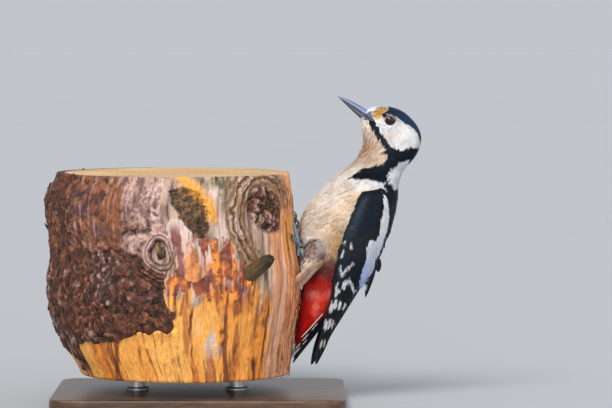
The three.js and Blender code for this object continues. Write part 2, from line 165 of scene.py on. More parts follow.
# smooth noise, about -1 to 1, periodic in u from 0 to 1
def field(u, v, cells, seed, octaves=4):
    total, weight = 0, 0.55
    random = np.random.default_rng(seed)
    for octave in range(octaves):
        wide, tall = cells[0] * 2 ** octave, cells[1] * 2 ** octave
        lattice = random.uniform(-1, 1, (wide, tall + 3))
        x, y = (u % 1) * wide, np.clip(v, 0, 1.05) * tall
        i, j = np.floor(x).astype(int), np.floor(y).astype(int)
        fx, fy = x - i, y - j
        fx, fy = fx * fx * (3 - 2 * fx), fy * fy * (3 - 2 * fy)
        j = np.minimum(j, tall + 1)
        i, n = i % wide, (i + 1) % wide
        low = lattice[i, j] * (1 - fx) + lattice[n, j] * fx
        high = lattice[i, j + 1] * (1 - fx) + lattice[n, j + 1] * fx
        total = total + weight * (low * (1 - fy) + high * fy)
        weight *= 0.55
    return total


# the bird's form, in the same sections as the frame's flesh
fleshRows = {  # back x, back z, belly x, belly z, half width
    "covertTip": (47.5, 41.5, 45.2, 43, 2.5),
    "undertailCoverts": (55.5, 48.5, 47.5, 57.5, 8.5),
    "vent": (66, 60.5, 49, 70.5, 15),
    "rump": (78.5, 75.5, 51.2, 84, 20),
    "lowerBelly": (90.5, 88, 52, 98, 23.5),
    "belly": (101, 102, 49.5, 111.5, 25.5),
    "keel": (109.5, 116.5, 47.5, 124.5, 26.5),
    "breast": (114.5, 131.5, 51, 136, 26),
    "upperBreast": (117, 144, 60.5, 149.5, 23.5),
    "shoulder": (118, 153, 73.5, 162, 19.5),
    "neckBase": (119.5, 161, 85, 171, 15.5),
    "throat": (124, 169, 92, 180, 13.8),
    "jaw": (131, 177, 94, 187, 14.2),
    "ear": (134.5, 188, 93, 194.5, 15),
    "cheek": (131.5, 198, 91.5, 198.5, 14.9),
    "eye": (123, 207, 91.2, 200.4, 13.2),
    "brow": (114, 211.2, 91.2, 201.4, 10.6),
    "forehead": (105, 212.2, 91.4, 202, 8),
    "lores": (99.5, 211, 91.8, 202.3, 6.3),
    "billRoot": (96.9, 209.7, 92.2, 202.6, 5),
}
stationNames = list(fleshRows)
fleshAt = spline(list(fleshRows.values()))
eye = {"x": 112, "z": 202.1, "out": 9.5, "radius": 4.6, "lidWide": 3.45, "lidHigh": 2.9}


def shareOf(name):
    return stationNames.index(name) / (len(stationNames) - 1)


def flesh(s, a):
    backX, backZ, bellyX, bellyZ, half = np.moveaxis(fleshAt(s), -1, 0)
    mid, reach = np.cos(a), np.sin(a)
    return np.stack([
        (backX + bellyX) / 2 + mid * (backX - bellyX) / 2,
        half * reach,
        (backZ + bellyZ) / 2 + mid * (backZ - bellyZ) / 2,
    ], -1)


thighRows = [(71, 13, 114.5, 7.6), (64, 17, 111.5, 7.4), (58.5, 21.4, 106.5, 6.4), (54.5, 25.4, 99.8, 3.4)]
thighRows = [(82, 6.5, 118, 7), (75, 10.5, 116, 7.6)] + thighRows  # and on into the body
shankRows = [(54, 26.2, 99, 2), (51.2, 22.6, 104.6, 1.6), (48.4, 18.4, 110.4, 1.7)]


def limb(rows, side):
    at = spline(rows)

    def surface(s, a):
        here = at(s)
        heading = unit(at(s + 0.01) - at(s - 0.01))[..., :3]
        across = unit(np.cross(np.array([0, 1, 0.0]), heading))
        beside = np.cross(heading, across)
        point = here[..., :3] + here[..., 3:] * (np.cos(a)[..., None] * across
            + np.sin(a)[..., None] * beside)
        return point * np.array([1, side, 1])

    return surface


wingRows = [  # leading x, z, out; middle out; trailing x, z, out; thickness
    (99.5, 153, 22, 21.5, 107, 154, 17, 4),
    (93.5, 149.5, 25, 24.5, 110.5, 147.5, 14, 5),
    (88.5, 139.5, 27, 26, 112, 137.5, 13, 5.5),
    (83.5, 126.5, 28.5, 26.8, 110.5, 126, 12.5, 5.5),
    (79, 113.5, 28.5, 26.5, 106.5, 113.5, 12.5, 5),
    (75.5, 100, 27, 25.5, 101, 100.5, 12.5, 4.4),
    (72.5, 86.5, 24.5, 23.5, 93.5, 85.5, 12.8, 3.6),
    (70, 73.5, 21, 20.5, 85.5, 72.5, 12.8, 2.8),
    (66, 60.5, 17.5, 17.2, 78, 60.5, 12.3, 2.2),
    (62.5, 48, 14.5, 14.6, 70, 47.5, 11.8, 1.8),
    (59.5, 36.5, 12.6, 12.6, 65, 36.5, 11.4, 1.4),
    (58.2, 27, 11.5, 11.5, 59.6, 26.5, 11.2, 0.9),
]
wingAt = spline(wingRows)
tipSpread = {leftSide: 0, rightSide: 3.4}


# outer face of the folded wing: s from shoulder to tip, v from leading to trailing edge
def wing(side):
    def surface(s, v):
        lx, lz, lOut, mOut, tx, tz, tOut = np.moveaxis(wingAt(s), -1, 0)[:7]
        spread = tipSpread[side] * np.clip(s, 0, 1.1) ** 5
        arch = 4 * v * (1 - v) * (mOut - (lOut + tOut) / 2)
        out = lOut + v * (tOut - lOut) + arch
        return np.stack([lx + v * (tx - lx) - spread, side * out, lz + v * (tz - lz) - 0.8 * spread], -1)

    return surface


def wingWidth(s):
    row = wingAt(s)
    return np.hypot(row[..., 4] - row[..., 0], row[..., 6] - row[..., 2])


# where a point shows on the side view, from the camera's height and distance
def seen(point):
    x, y, z = np.moveaxis(point, -1, 0)
    away, aimX, aimZ = np.abs(y), viewpoint["aimX"], viewpoint["aimZ"]
    nearer = 1 / (1 - away / viewpoint["distance"])
    return aimX + (x - aimX) * nearer, aimZ + (z - aimZ - viewpoint["fall"] * away) * nearer


# markings are loops on the side view (x, z), the same on both sides of the bird
def inside(loop, x, z):
    hit = np.zeros(x.shape, bool)
    for (x0, z0), (x1, z1) in zip(loop, loop[1:] + loop[:1]):
        if z0 != z1:
            hit ^= ((z0 > z) != (z1 > z)) & (x < (x1 - x0) * (z - z0) / (z1 - z0) + x0)
    return hit


# distance to a polyline
def nearLine(line, x, z):
    best = np.full(x.shape, 1e9)
    for (x0, z0), (x1, z1) in zip(line, line[1:]):
        dx, dz = x1 - x0, z1 - z0
        t = np.clip(((x - x0) * dx + (z - z0) * dz) / (dx * dx + dz * dz), 0, 1)
        best = np.minimum(best, np.hypot(x - x0 - t * dx, z - z0 - t * dz))
    return best


shades = {
    "cream": (0.82, 0.67, 0.54), "throatBuff": (0.46, 0.235, 0.11), "flankGold": (0.42, 0.24, 0.085),
    "breastWhite": (0.97, 0.90, 0.85), "white": (0.90, 0.90, 0.92), "cheekGrey": (0.60, 0.55, 0.53),
    "black": (0.008, 0.010, 0.016), "crownBlackPaintedSheen": (0.012, 0.048, 0.125), "ochre": (1.0, 0.60, 0.17),
    "scarlet": (0.60, 0.006, 0.005), "brightRed": (1.0, 0.05, 0.025), "paintedHighlightPink": (1.0, 0.38, 0.30),
    "maroon": (0.10, 0.005, 0.004),
    "smoky": (0.105, 0.035, 0.03), "barBrown": (0.50, 0.32, 0.28), "barDark": (0.15, 0.085, 0.08),
    "patchGrey": (0.34, 0.32, 0.33),
    "trouserPale": (0.70, 0.66, 0.61), "scapularPaintedShade": (0.42, 0.52, 0.86),
    "wingBlack": (0.007, 0.007, 0.009), "wingPaintedSheen": (0.011, 0.016, 0.030), "barWhite": (0.74, 0.74, 0.76),
    "loralDark": (0.05, 0.035, 0.03),
}
shades = {name: np.array(colour) for name, colour in shades.items()}
glows = [  # soft patches of the pale parts: x, z, reach along x, reach along z, shade, strength
    (88, 186, 10, 12, "throatBuff", 0.55), (95, 183, 6, 6, "throatBuff", 0.7),
    (94, 201, 4, 6, "breastWhite", 0.9),
    (100, 172, 9, 5, "throatBuff", 0.35), (82, 160, 14, 7, "breastWhite", 0.9),
    (60, 150, 10, 12, "breastWhite", 0.4),
    (72, 147, 11, 12, "breastWhite", 0.95), (86, 142, 6, 8, "flankGold", 0.4),
    (75, 114, 8, 18, "flankGold", 0.9),
    (53, 125, 4, 10, "trouserPale", 0.35), (79, 104, 5, 12, "flankGold", 0.85),
    (56, 117.2, 9, 2.8, "breastWhite", 0.95),
    (62.5, 111, 4, 5, "patchGrey", 0.95), (63.5, 105.5, 4, 2.8, "barDark", 0.7),
    (70, 101, 10, 5, "smoky", 0.95),
]
# the vent's red is lighter and more orange in the middle, partly the red's own orange and partly a painted
# pool of light; the pink spots are painted highlights; the maroon along its edge by the log is painted
# shade
ventGlows = [
    (64, 72, 8, 10, "brightRed", 0.98), (72, 70, 5, 8, "brightRed", 0.8),
    (59, 78.5, 4, 3, "paintedHighlightPink", 0.75), (69, 79, 2.4, 3, "paintedHighlightPink", 0.7),
    (60, 69, 2.5, 6, "paintedHighlightPink", 0.35), (48, 79, 3, 10, "maroon", 0.85), (67, 96, 14, 10, "smoky", 0.99),
    (44, 60, 4, 14, "maroon", 0.6),
]
cheekGlows = [(112, 189, 5, 5, "cheekGrey", 0.7), (103, 200, 3, 3, "cheekGrey", 0.35),
    (120, 170, 4, 4, "cheekGrey", 0.3)]
thighBars = [(46.5, 113.5), (59, 114), (60, 110), (58, 102.5), (48, 101)]
markings = [
    ("scarlet", [(42, 78), (50, 92), (60, 99), (68, 99.5), (76, 97), (84, 84), (74, 62), (62, 50), (50, 42),
    (40, 38), (36, 60)]),
    ("white", [(85, 159.7), (99.4, 160.1), (105.1, 158.6), (108.7, 156.5), (111.6, 152.5), (109.4, 150),
    (107.3, 152), (103.7, 153),
               (97.9, 152.9), (92.2, 152), (87.1, 154)]),
    ("white", [(99.4, 204.3), (101, 207), (108, 207.6), (114.5, 206.5), (117.8, 204), (120.8, 201.2),
    (124.6, 199), (127.8, 197),
               (130.4, 194.6), (133, 190.2), (134.4, 185.8), (134.2, 182.4), (127.4, 183.5), (124.6, 182.2),
               (120.2, 180.4), (117.4, 181.8),
               (113.2, 183.8), (109.2, 188.6), (104.8, 195.4), (101.6, 201)]),
    ("white", [(95, 207.9), (96, 214), (110.4, 215), (110.2, 210.8), (108, 207.2), (105.8, 205),
    (102.2, 203.6), (97.9, 205.1)]),
    ("ochre", [(99.4, 204.6), (100.6, 208.4), (103.6, 210.6), (108.2, 211.4), (109.2, 209), (106.4, 206),
    (105.2, 203.6), (102, 202.6)]),
    ("loralDark", [(106.4, 206.6), (109.4, 208), (109.6, 204.8), (107.6, 203.2), (106.4, 204.4)]),
    ("black", [(96, 200.3), (98, 202.4), (100, 202.4), (101.6, 201), (104.8, 195.4), (109.2, 188.6),
    (113.2, 183.8), (117.4, 181.8),
               (115.2, 173.4), (110.9, 173.4), (110.2, 177), (108.7, 182), (105.8, 186.3), (103, 190.7),
               (100.8, 195), (98.6, 197.9)]),
    ("black", [(110.9, 185.6), (117.4, 181.8), (120.2, 180.2), (123.6, 181.6), (127.4, 183.2), (139, 182.7),
    (136, 175), (130.3, 174.3), (127.4, 178.1),
               (123.1, 173.4), (119.5, 172.7), (118.1, 169.8), (114.5, 167.6), (111.6, 170.5),
               (110.2, 176.3)]),
    ("black", [(111.6, 175.5), (108.7, 171.2), (103.7, 170.5), (98.6, 169.1), (95, 169.1), (91.4, 166.2),
    (88.6, 164.7), (83.5, 161.9),
               (85, 160.4), (90.7, 160.1), (97.9, 160.4), (103.7, 159), (107.3, 157.5), (110.9, 152.5),
               (113, 148), (122, 148), (122, 153.5),
               (114.5, 153.9), (112.3, 158.3), (110.9, 164), (114.5, 168.3)]),
    ("white", [(119.5, 172.7), (127.4, 174.8), (124.5, 168.5), (122.5, 164.7), (121, 159), (120.5, 154.4),
    (114.5, 153.9), (112.3, 158.3),
               (110.9, 164), (113.8, 167.6), (117.4, 169.1)]),

    # the crown is black with a painted blue sheen
    ("crownBlackPaintedSheen", [(110.2, 215), (119.5, 214), (128.2, 210), (136, 202.7), (141, 190.7), (140, 178),
    (134.6, 180.6), (134.4, 185.8),
                   (133, 190.2), (130.4, 194.6), (127.8, 197), (124.6, 199), (120.8, 201.2), (117.8, 204),
                   (114.5, 206.2),
                   (109.4, 206.6), (106.6, 205.8), (108, 207.2), (110.6, 209.4)]),
]
rearLine = [(150, 190), (128, 180), (114, 158), (105, 150), (101, 140), (98, 120), (92, 100), (84, 86),
    (74, 72), (62, 56), (60, 30), (150, 90)]
backLine = [(140, 176), (121.5, 152), (113, 148), (112, 140), (108, 120), (98, 100), (84, 84), (74, 70),
    (62, 56), (48, 44), (60, 30), (150, 100)]


def mix(first, second, share):
    return first * (1 - share) + second * share


def plain(colour, like):
    return np.tile(colour, like.shape + (1,))


def glow(colour, x, z, patches):
    for gx, gz, rx, rz, shade, strength in patches:
        share = strength * np.exp(-((x - gx) / rx) ** 2 - ((z - gz) / rz) ** 2)
        colour = mix(colour, shades[shade], share[..., None])
    return colour


def plumage(point, jitter=0.0, random=None):
    x, z = seen(point)
    if random is not None:
        x = x + jitter * random.standard_normal(x.shape)
        z = z + jitter * random.standard_normal(x.shape)
    colour = glow(plain(shades["cream"], x), x, z, glows)
    barred, chevron = inside(thighBars, x, z), np.sin((z + 0.45 * np.abs(x - 54)) * 2.7) > 0.1
    colour[barred] = colour[barred] * 0.25 + np.where(chevron[barred, None], shades["barBrown"],
        shades["barDark"]) * 0.75
    colour[inside(rearLine, x, z)] = shades["black"]
    for shade, loop in markings:
        colour[inside(loop, x, z)] = shades[shade]
    pale = colour.max(-1) > 0.5
    colour[pale] = glow(colour, x, z, cheekGlows)[pale]
    back = inside(backLine, x, z)
    colour[back & (z < 152)] = shades["black"]
    red = inside(markings[0][1], x, z) & ~back
    colour[red] = glow(plain(shades["scarlet"], x), x, z, ventGlows)[red]
    return colour


def startMaterial(name, **constants):
    material = bpy.data.materials.new(name)
    material.use_nodes = True
    tree = material.node_tree
    shader = tree.nodes["Principled BSDF"]
    for key, value in constants.items():
        shader.inputs[key.replace("_", " ")].default_value = value
    return material, tree, shader


def addNode(tree, kind, inputs=None, **properties):
    node = tree.nodes.new(kind if "Node" in kind else "ShaderNode" + kind)
    for key, value in properties.items():
        setattr(node, key, value)
    for key, value in (inputs or {}).items():
        if isinstance(value, bpy.types.NodeSocket):
            tree.links.new(value, node.inputs[key])
        else:
            node.inputs[key].default_value = value
    return node


def blend(tree, mode, first, second, factor=1.0):
    return addNode(tree, "Mix", {0: factor, 6: first, 7: second}, data_type="RGBA",
        blend_type=mode).outputs[2]


def calculate(tree, operation, *values):
    return addNode(tree, "Math", dict(enumerate(values)), operation=operation).outputs[0]


# each stop is a position and a colour or a grey
def ramp(tree, value, *stops):
    node = addNode(tree, "ValToRGB", {"Fac": value})
    elements = node.color_ramp.elements
    while len(elements) < len(stops):
        elements.new(0.5)
    for element, (position, colour) in zip(elements, stops):
        element.position = position
        element.color = (*np.broadcast_to(colour, 3), 1)
    return node.outputs["Color"]


def tintOf(tree):
    return addNode(tree, "Attribute", attribute_name="tint").outputs["Color"]


def objectCoords(tree, scale=(1, 1, 1), turn=(0, 0, 0)):
    place = addNode(tree, "TexCoord").outputs["Object"]
    return addNode(tree, "Mapping", {"Vector": place, "Scale": scale, "Rotation": turn}).outputs["Vector"]


def noise(tree, coords, scale, detail=4, rough=0.55, twist=0):
    return addNode(tree, "TexNoise", {"Vector": coords, "Scale": scale, "Detail": detail,
        "Roughness": rough, "Distortion": twist}).outputs["Fac"]


def bump(tree, height, strength, distance, under=None):
    inputs = {"Height": height, "Strength": strength, "Distance": distance}
    if under is not None:
        inputs["Normal"] = under
    return addNode(tree, "Bump", inputs).outputs["Normal"]


# the layers multiplied together, over a bump
def dress(tree, shader, layers, *relief):
    base = layers[0]
    for layer in layers[1:]:
        base = blend(tree, "MULTIPLY", base, layer)
    tree.links.new(base, shader.inputs["Base Color"])
    if relief:
        tree.links.new(bump(tree, *relief), shader.inputs["Normal"])


# colour from the tuft's own tint, with fine barbs
def plumageMaterial(name, roughness, streak, **constants):
    material, tree, shader = startMaterial(name, Roughness=roughness, **constants)
    fine = noise(tree, objectCoords(tree), 1400, 2, 0.6)
    dress(tree, shader, [tintOf(tree), ramp(tree, fine, (0.3, 1 - streak), (0.7, 1))], fine, 0.35, 0.0003)
    return material


softDown = plumageMaterial("soft_down", 0.85, 0.22, Sheen_Weight=0.08, Sheen_Roughness=0.5,
    Specular_IOR_Level=0.2)
glossyPlumage = plumageMaterial("glossy_plumage", 0.42, 0.4, Specular_Tint=(0.45, 0.68, 1, 1),
    Specular_IOR_Level=0.26)


# stiff feather: barbs slant off the shaft; u runs 0 to 1 across and v along in millimetres
def vaneMaterial():
    material, tree, shader = startMaterial(
        "stiff_vane", Roughness=0.5, Specular_IOR_Level=0.3, Specular_Tint=(0.8, 0.88, 1, 1))
    uv = addNode(tree, "UVMap", uv_map="vane").outputs["UV"]
    parts = addNode(tree, "SeparateXYZ", {"Vector": uv}).outputs
    away = calculate(tree, "ABSOLUTE", calculate(tree, "SUBTRACT", parts["X"], 0.45))
    slant = calculate(tree, "MULTIPLY_ADD", away, -7.0, parts["Y"])
    barb = calculate(tree, "SINE", calculate(tree, "MULTIPLY", slant, 11.0))
    body = blend(tree, "MULTIPLY", tintOf(tree), ramp(tree, barb, (0.0, 0.84), (0.8, 1.0)))
    shaft = ramp(tree, away, (0.012, (0.3, 0.28, 0.28)), (0.03, 0))
    dress(tree, shader, [blend(tree, "ADD", body, shaft, 0.12)], barb, 0.3, 0.00006)
    return material


stiffVane = vaneMaterial()


coatDepth = {"head": 1.0, "body": 2.2}
# tone: how much darker than the coat the skin is painted, as painted shade under the tufts
skinForm = {"rows": 170, "around": 72, "thighRows": 24, "thighAround": 28, "thighInset": 1.2, "voxel": 0.8,
            "relax": 8, "socketReach": 4.3, "socketDepth": 2.2, "socketFrom": 7, "tone": 0.7}


def inset(surface, depthAt):
    def lower(s, a):
        alongS, alongA = slopes(surface, s, a)
        normal = unit(np.cross(alongA, alongS))
        return surface(s, a) - normal * depthAt(s)[..., None]
    return lower


# +1 where cross(alongA, alongS) points away from the centre
def outwardSign(surface, s, a, centre):
    alongS, alongA = slopes(surface, s, a)
    return np.sign(np.sum(np.cross(alongA, alongS) * (surface(s, a) - centre), -1))


def skinDepth(s):
    head = np.clip((s - shareOf("throat")) / (shareOf("ear") - shareOf("throat")), 0, 1)
    tail = np.clip(s / shareOf("vent"), 0.25, 1)
    return (coatDepth["body"] * (1 - head) + coatDepth["head"] * head) * tail


def closedLoft(surface, rows, around):
    s, a = np.meshgrid(np.linspace(0, 1, rows), fullTurn(around), indexing="ij")
    return capped(surface(s, a))


# several lists of points and faces as one
def merge(parts):
    start, groups = 0, ([], [], [])
    for points, quads, tris in parts:
        for group, item in zip(groups, (points, quads + start, tris + start)):
            group.append(item)
        start += len(points)
    return [np.vstack(group) for group in groups]


def makeSkin():
    parts = [closedLoft(inset(flesh, skinDepth), skinForm["rows"], skinForm["around"])]
    for side in sides.values():
        thigh = inset(limb(thighRows, side), lambda s: np.full(s.shape, side * skinForm["thighInset"]))
        parts.append(closedLoft(thigh, skinForm["thighRows"], skinForm["thighAround"]))
    rough = buildObject("skin_form", *merge(parts), closed=True)
    remesh = rough.modifiers.new("even", "REMESH")
    remesh.mode = "VOXEL"
    remesh.voxel_size = skinForm["voxel"] * mm
    relax = rough.modifiers.new("relax", "SMOOTH")
    relax.factor, relax.iterations = 0.5, skinForm["relax"]
    mesh = bpy.data.meshes.new_from_object(rough.evaluated_get(bpy.context.evaluated_depsgraph_get()))
    bpy.data.objects.remove(rough)
    co = np.empty(len(mesh.vertices) * 3, np.float32)
    mesh.vertices.foreach_get("co", co)
    co = co.reshape(-1, 3) / mm
    aside = np.hypot(co[:, 0] - eye["x"], co[:, 2] - eye["z"])
    socket = np.clip(1 - (aside / skinForm["socketReach"]) ** 2, 0,
        1) * (np.abs(co[:, 1]) > skinForm["socketFrom"])
    co[:, 1] -= np.sign(co[:, 1]) * skinForm["socketDepth"] * socket
    mesh.vertices.foreach_set("co", (co * mm).astype(np.float32).ravel())
    # painted shade: the skin under the tufts takes the coat's colours darkened by the tone, as the shade
    # beneath them
    paint(mesh, plumage(co) * skinForm["tone"])
    mesh.polygons.foreach_set("use_smooth", np.ones(len(mesh.polygons), bool))
    mesh.materials.append(softDown)
    skin = bpy.data.objects.new("skin", mesh)
    bpy.context.collection.objects.link(skin)
    return finishPiece(skin, "belly", "head", "neck", "trunk", "vent", "thigh_left", "thigh_right")


makeSkin()
print("skin made")


# the coat is fans of narrow blades or broad vanes, laid along the form
tuftKinds = {
    "face": {"blades": 8, "fan": 0.55, "bladeWidth": 0.26, "splay": 0.5},
    "down": {"blades": 11, "fan": 0.66, "bladeWidth": 0.21, "splay": 0.6},
    "vane": {"blades": 5, "fan": 0.85, "bladeWidth": 0.62, "splay": 0.35},
}
# spacing, length, width and lift of the tip in millimetres; below is the extra lift on the underside
coatRegions = {
    "crown": {"from": "jaw", "to": "billRoot", "spacing": 1.05, "length": 3.7, "width": 1.9, "lift": 0.2,
    "kind": "face"},
    "neck": {"from": "shoulder", "to": "jaw", "spacing": 1.45, "length": 5.6, "width": 2.6, "lift": 0.35,
    "kind": "down"},
    "breast": {"from": "keel", "to": "shoulder", "spacing": 1.85, "length": 7.5, "width": 3.6, "lift": 0.7,
    "kind": "down"},
    "belly": {"from": "rump", "to": "keel", "spacing": 2.0, "length": 8.5, "width": 3.9, "lift": 0.8,
    "kind": "down",
              "below": 0.4},
    "vent": {"from": "covertTip", "to": "rump", "spacing": 1.8, "length": 9, "width": 3.7, "lift": 0.8,
             "kind": "down", "below": 1.2},
}
# over the bill's root, under the chin and down the throat: angles, span, length, width, lift, spacing, way
bristles = {
    "nasal": ((-1.2, 1.2), ("forehead", "billRoot"), 3.4, 1.3, 0.35, 0.95, 1),
    "chin": ((math.pi - 1.15, math.pi + 1.15), ("brow", "billRoot"), 4.6, 1.2, 1.5, 1.0, 1),
    "throat": ((math.pi - 1.2, math.pi + 1.2), ("throat", "eye"), 4.4, 1.5, 1.1, 1.8, -1),
}


# one root for each cube of the spacing, spread by area
def scatter(surface, sRange, aRange, spacing, random):
    tries = 60000
    s = random.uniform(*sRange, tries)
    a = random.uniform(*aRange, tries)
    alongS, alongA = slopes(surface, s, a)
    area = np.linalg.norm(np.cross(alongS, alongA), axis=-1)
    keep = random.uniform(0, np.quantile(area, 0.97), tries) < area
    s, a = s[keep], a[keep]
    cells = np.floor(surface(s, a) / spacing + random.uniform(0, 1, 3)).astype(int)
    chosen = np.unique(cells, axis=0, return_index=True)[1]
    return s[chosen], a[chosen]


# blades from every root. flow is +1 or -1 along s; chart gives the root's place on the unwrap
def layTufts(surface, s, a, chart, outwards, flow, kind, length, width, depth, lift, colour, random,
        swirl=0.16):
    style = tuftKinds[kind]
    roots, blades = len(s), style["blades"]
    alongS, alongA = slopes(surface, s, a)
    perS = flow / np.linalg.norm(alongS, axis=-1)
    perA = 1 / np.maximum(np.linalg.norm(alongA, axis=-1), 1.5)
    turn = random.normal(0, swirl, (roots, 1, 1))
    stretch = random.uniform(0.85, 1.15, (roots, blades, 1)) * length.reshape(-1, 1, 1)
    place = (np.arange(blades) - (blades - 1) / 2) / max(1, (blades - 1) / 2)  # -1 to 1 across the fan
    place = place[None, :, None] + random.normal(0, 0.12, (roots, blades, 1))
    t = np.array([0, 0, 0.38, 0.38, 0.76, 0.76, 1.0])[None, None, :]
    edge = np.array([-0.6, 0.6, -1, 1, -0.7, 0.7, 0])[None, None, :]
    half = style["bladeWidth"] * width.reshape(-1, 1, 1) / 2
    along = t * stretch * (1 - 0.16 * place ** 2)
    across = place * width.reshape(-1, 1, 1) * (style["splay"] * 0.5 + style["fan"]
        * t) * 0.5 + edge * half * (1 - 0.35 * t)
    d = along * np.cos(turn) - across * np.sin(turn)
    e = along * np.sin(turn) + across * np.cos(turn)
    sAll = s.reshape(-1, 1, 1) + d * perS.reshape(-1, 1, 1)
    aAll = a.reshape(-1, 1, 1) + e * perA.reshape(-1, 1, 1)
    normal = unit(np.cross(alongA, alongS)) * outwards.reshape(-1, 1)
    # from the skin up to just past the form
    rise = (1 - (1 - t) ** 1.6) * (1 + lift.reshape(-1, 1, 1) / depth) - 1
    height = depth * rise + 0.12 * (1 - np.abs(edge)) + random.normal(0, 0.08, (roots, blades, 1)) * t
    points = surface(sAll, aAll) + normal[:, None, None, :] * height[..., None]
    first = (np.arange(roots * blades) * 7)[:, None]
    quads = np.vstack([first + [0, 1, 3, 2], first + [2, 3, 5, 4]])
    tris = first + [4, 5, 6]
    if (flow * outwards.mean()) < 0:
        quads, tris = quads[:, ::-1], tris[:, ::-1]
    # painted shade: each tuft is darker at its root, where it lies under its neighbours, and lighter at its
    # tip; less dark at a pale tuft's root
    root = np.where(colour.max(-1) > 0.3, 0.82, 0.68)[:, None, None, None]
    shade = colour[:, None, None, :] * (root + (1.06 - root) * t[..., None]) * random.normal(1, 0.06,
        (roots, blades, 1, 1))
    shade = shade * random.normal(1, 0.07, (roots, 1, 1, 1))
    shade = np.clip(np.broadcast_to(shade, points.shape), 0, 1)
    local = np.stack(np.broadcast_arrays(across / (2 * width.reshape(-1, 1, 1)), t - 0.5), -1)
    uv = chart(s, a)[:, None, None, :] + 0.003 * local
    return points.reshape(-1, 3), quads, tris, shade.reshape(-1, 3), uv.reshape(-1, 2)


def bodyChart(s, a):
    return np.stack([0.02 + 0.74 * s, 0.02 + 0.96 * (a % (2 * math.pi)) / (2 * math.pi)], -1)


def thighChart(side):
    low = 0.04 if side < 0 else 0.54
    return lambda s, a: np.stack([0.80 + 0.17 * s, low + 0.42 * (a % (2 * math.pi)) / (2 * math.pi)], -1)


def isDark(colour):
    return colour.max(-1) < 0.09


# a place halfway along each tuft
def midTuft(surface, s, a, flow, length):
    return surface(s + flow * 0.5 * length / np.linalg.norm(slopes(surface, s, a)[0], axis=-1), a)


def tuftPiece(name, material, slot, points, quads, tris, tint, uv):
    return finishPiece(buildObject(name, points, quads, tris, material, tint, uv), slot)


# the eye and the wedge of bare horn behind the bill
def bareOf(point):
    x, z = point[:, 0], point[:, 2]
    wedge = nearLine([(94.1, 206.2), (100.8, 201.7)], x, z) < 2.3 - 1.8 * np.clip((x - 94.1) / 6.7, 0, 1)
    return wedge | (np.hypot((x - eye["x"]) / 4.5, (z - eye["z"] - 0.4) / 3.55) < 1)


def makeBodyCoat():
    for index, (region, look) in enumerate(coatRegions.items()):
        random = np.random.default_rng(40 + index)
        sRange = (shareOf(look["from"]) - 0.004, shareOf(look["to"]) + 0.004)
        s, a = scatter(flesh, sRange, (0, 2 * math.pi), look["spacing"], random)
        point = flesh(s, a)
        size = np.ones(len(s))
        if region == "crown":  # finer and shorter towards the bill and round the eyes
            size = np.clip(0.45 + 0.55 * (shareOf("billRoot") - s)
                / (shareOf("billRoot") - shareOf("cheek")), 0.45, 1)
            near = np.hypot(point[:, 0] - eye["x"], point[:, 2] - eye["z"])
            size *= np.clip(near / 9, 0.5, 1)
            keep = ~bareOf(point) & ~bareOf(midTuft(flesh, s, a, -1, 1.5 * look["length"] * size))
            s, a, size = s[keep], a[keep], size[keep]
        lift = look["lift"] + np.clip(-np.cos(a), 0, 1) * look.get("below", 0)
        layBoth(f"coat_{region}", s, a, -1, look["kind"], look["length"] * size, look["width"] * size, lift,
                0.35 * look["spacing"] / 2, random)


def makeBristles():
    for name, (aRange, (first, last), length, width, lift, spacing, way) in bristles.items():
        random = np.random.default_rng(len(name))
        s, a = scatter(flesh, (shareOf(first), shareOf(last)), aRange, spacing, random)
        keep = ~bareOf(flesh(s, a)) & ~bareOf(midTuft(flesh, s, a, 1, np.full(len(s), 2.0)))
        s, a = s[keep], a[keep]
        full = np.ones(len(s))
        layBoth(f"coat_{name}", s, a, way, "face", length * full, width * full, lift * full, 0.3, random)


def makeThighCoat():
    for name, side in sides.items():
        random = np.random.default_rng(60 + side)
        surface = limb(thighRows, side)
        s, a = scatter(surface, (0.05, 0.98), (0, 2 * math.pi), 1.6, random)
        full = np.ones(len(s))
        colour = plumage(midTuft(surface, s, a, 1, 7.0 * full), 0.3, random)
        out = outwardSign(surface, s, a, spline(thighRows)(s)[:, :3] * np.array([1, side, 1]))
        lift = 0.7 + 2.4 * np.clip(np.cos(a), 0, 1) * random.uniform(0.5, 1.4, len(s))
        tufts = layTufts(surface, s, a, thighChart(side), out, 1, "down", 5.5 + 2 * (1 - s), 3.0 * full,
                         1.2 * full.reshape(-1, 1, 1), lift, colour, random)
        tuftPiece(f"coat_thigh_{name}", softDown, "belly", *tufts)


# one region of the body's coat, its dark and its pale tufts as two pieces
def layBoth(name, s, a, flow, kind, length, width, lift, jitter, random):
    colour = plumage(midTuft(flesh, s, a, flow, length), jitter, random)
    mottle, warm = field(a / (2 * math.pi), s, (26, 34), 9, 3), field(a / (2 * math.pi), s, (16, 20), 10, 2)
    colour = colour * (1 + 0.26 * mottle[:, None]) * (1 + warm[:, None] * np.array([0.03, -0.09, -0.2]))
    lift = lift * random.uniform(0.3, 1.8, len(s))
    mid, depth = fleshAt(s), skinDepth(s)
    out = outwardSign(flesh, s, a, np.stack([(mid[:, 0] + mid[:, 2]) / 2, 0 * s,
        (mid[:, 1] + mid[:, 3]) / 2], -1))
    dark = isDark(colour)
    for finish, material, slot, n in (("dark", glossyPlumage, "crown", dark),
            ("pale", softDown, "throat", ~dark)):
        if n.sum() < 5:
            continue
        tufts = layTufts(flesh, s[n], a[n], bodyChart, out[n], flow, kind, length[n], width[n],
            depth[n].reshape(-1, 1, 1), lift[n],
                         colour[n], random)
        print(name, finish, int(n.sum()), "tufts", len(tufts[1]) * 2 + len(tufts[2]), "triangles")
        tuftPiece(f"{name}_{finish}", material, slot, *tufts)


makeBodyCoat()
makeBristles()
makeThighCoat()
print("coat made")


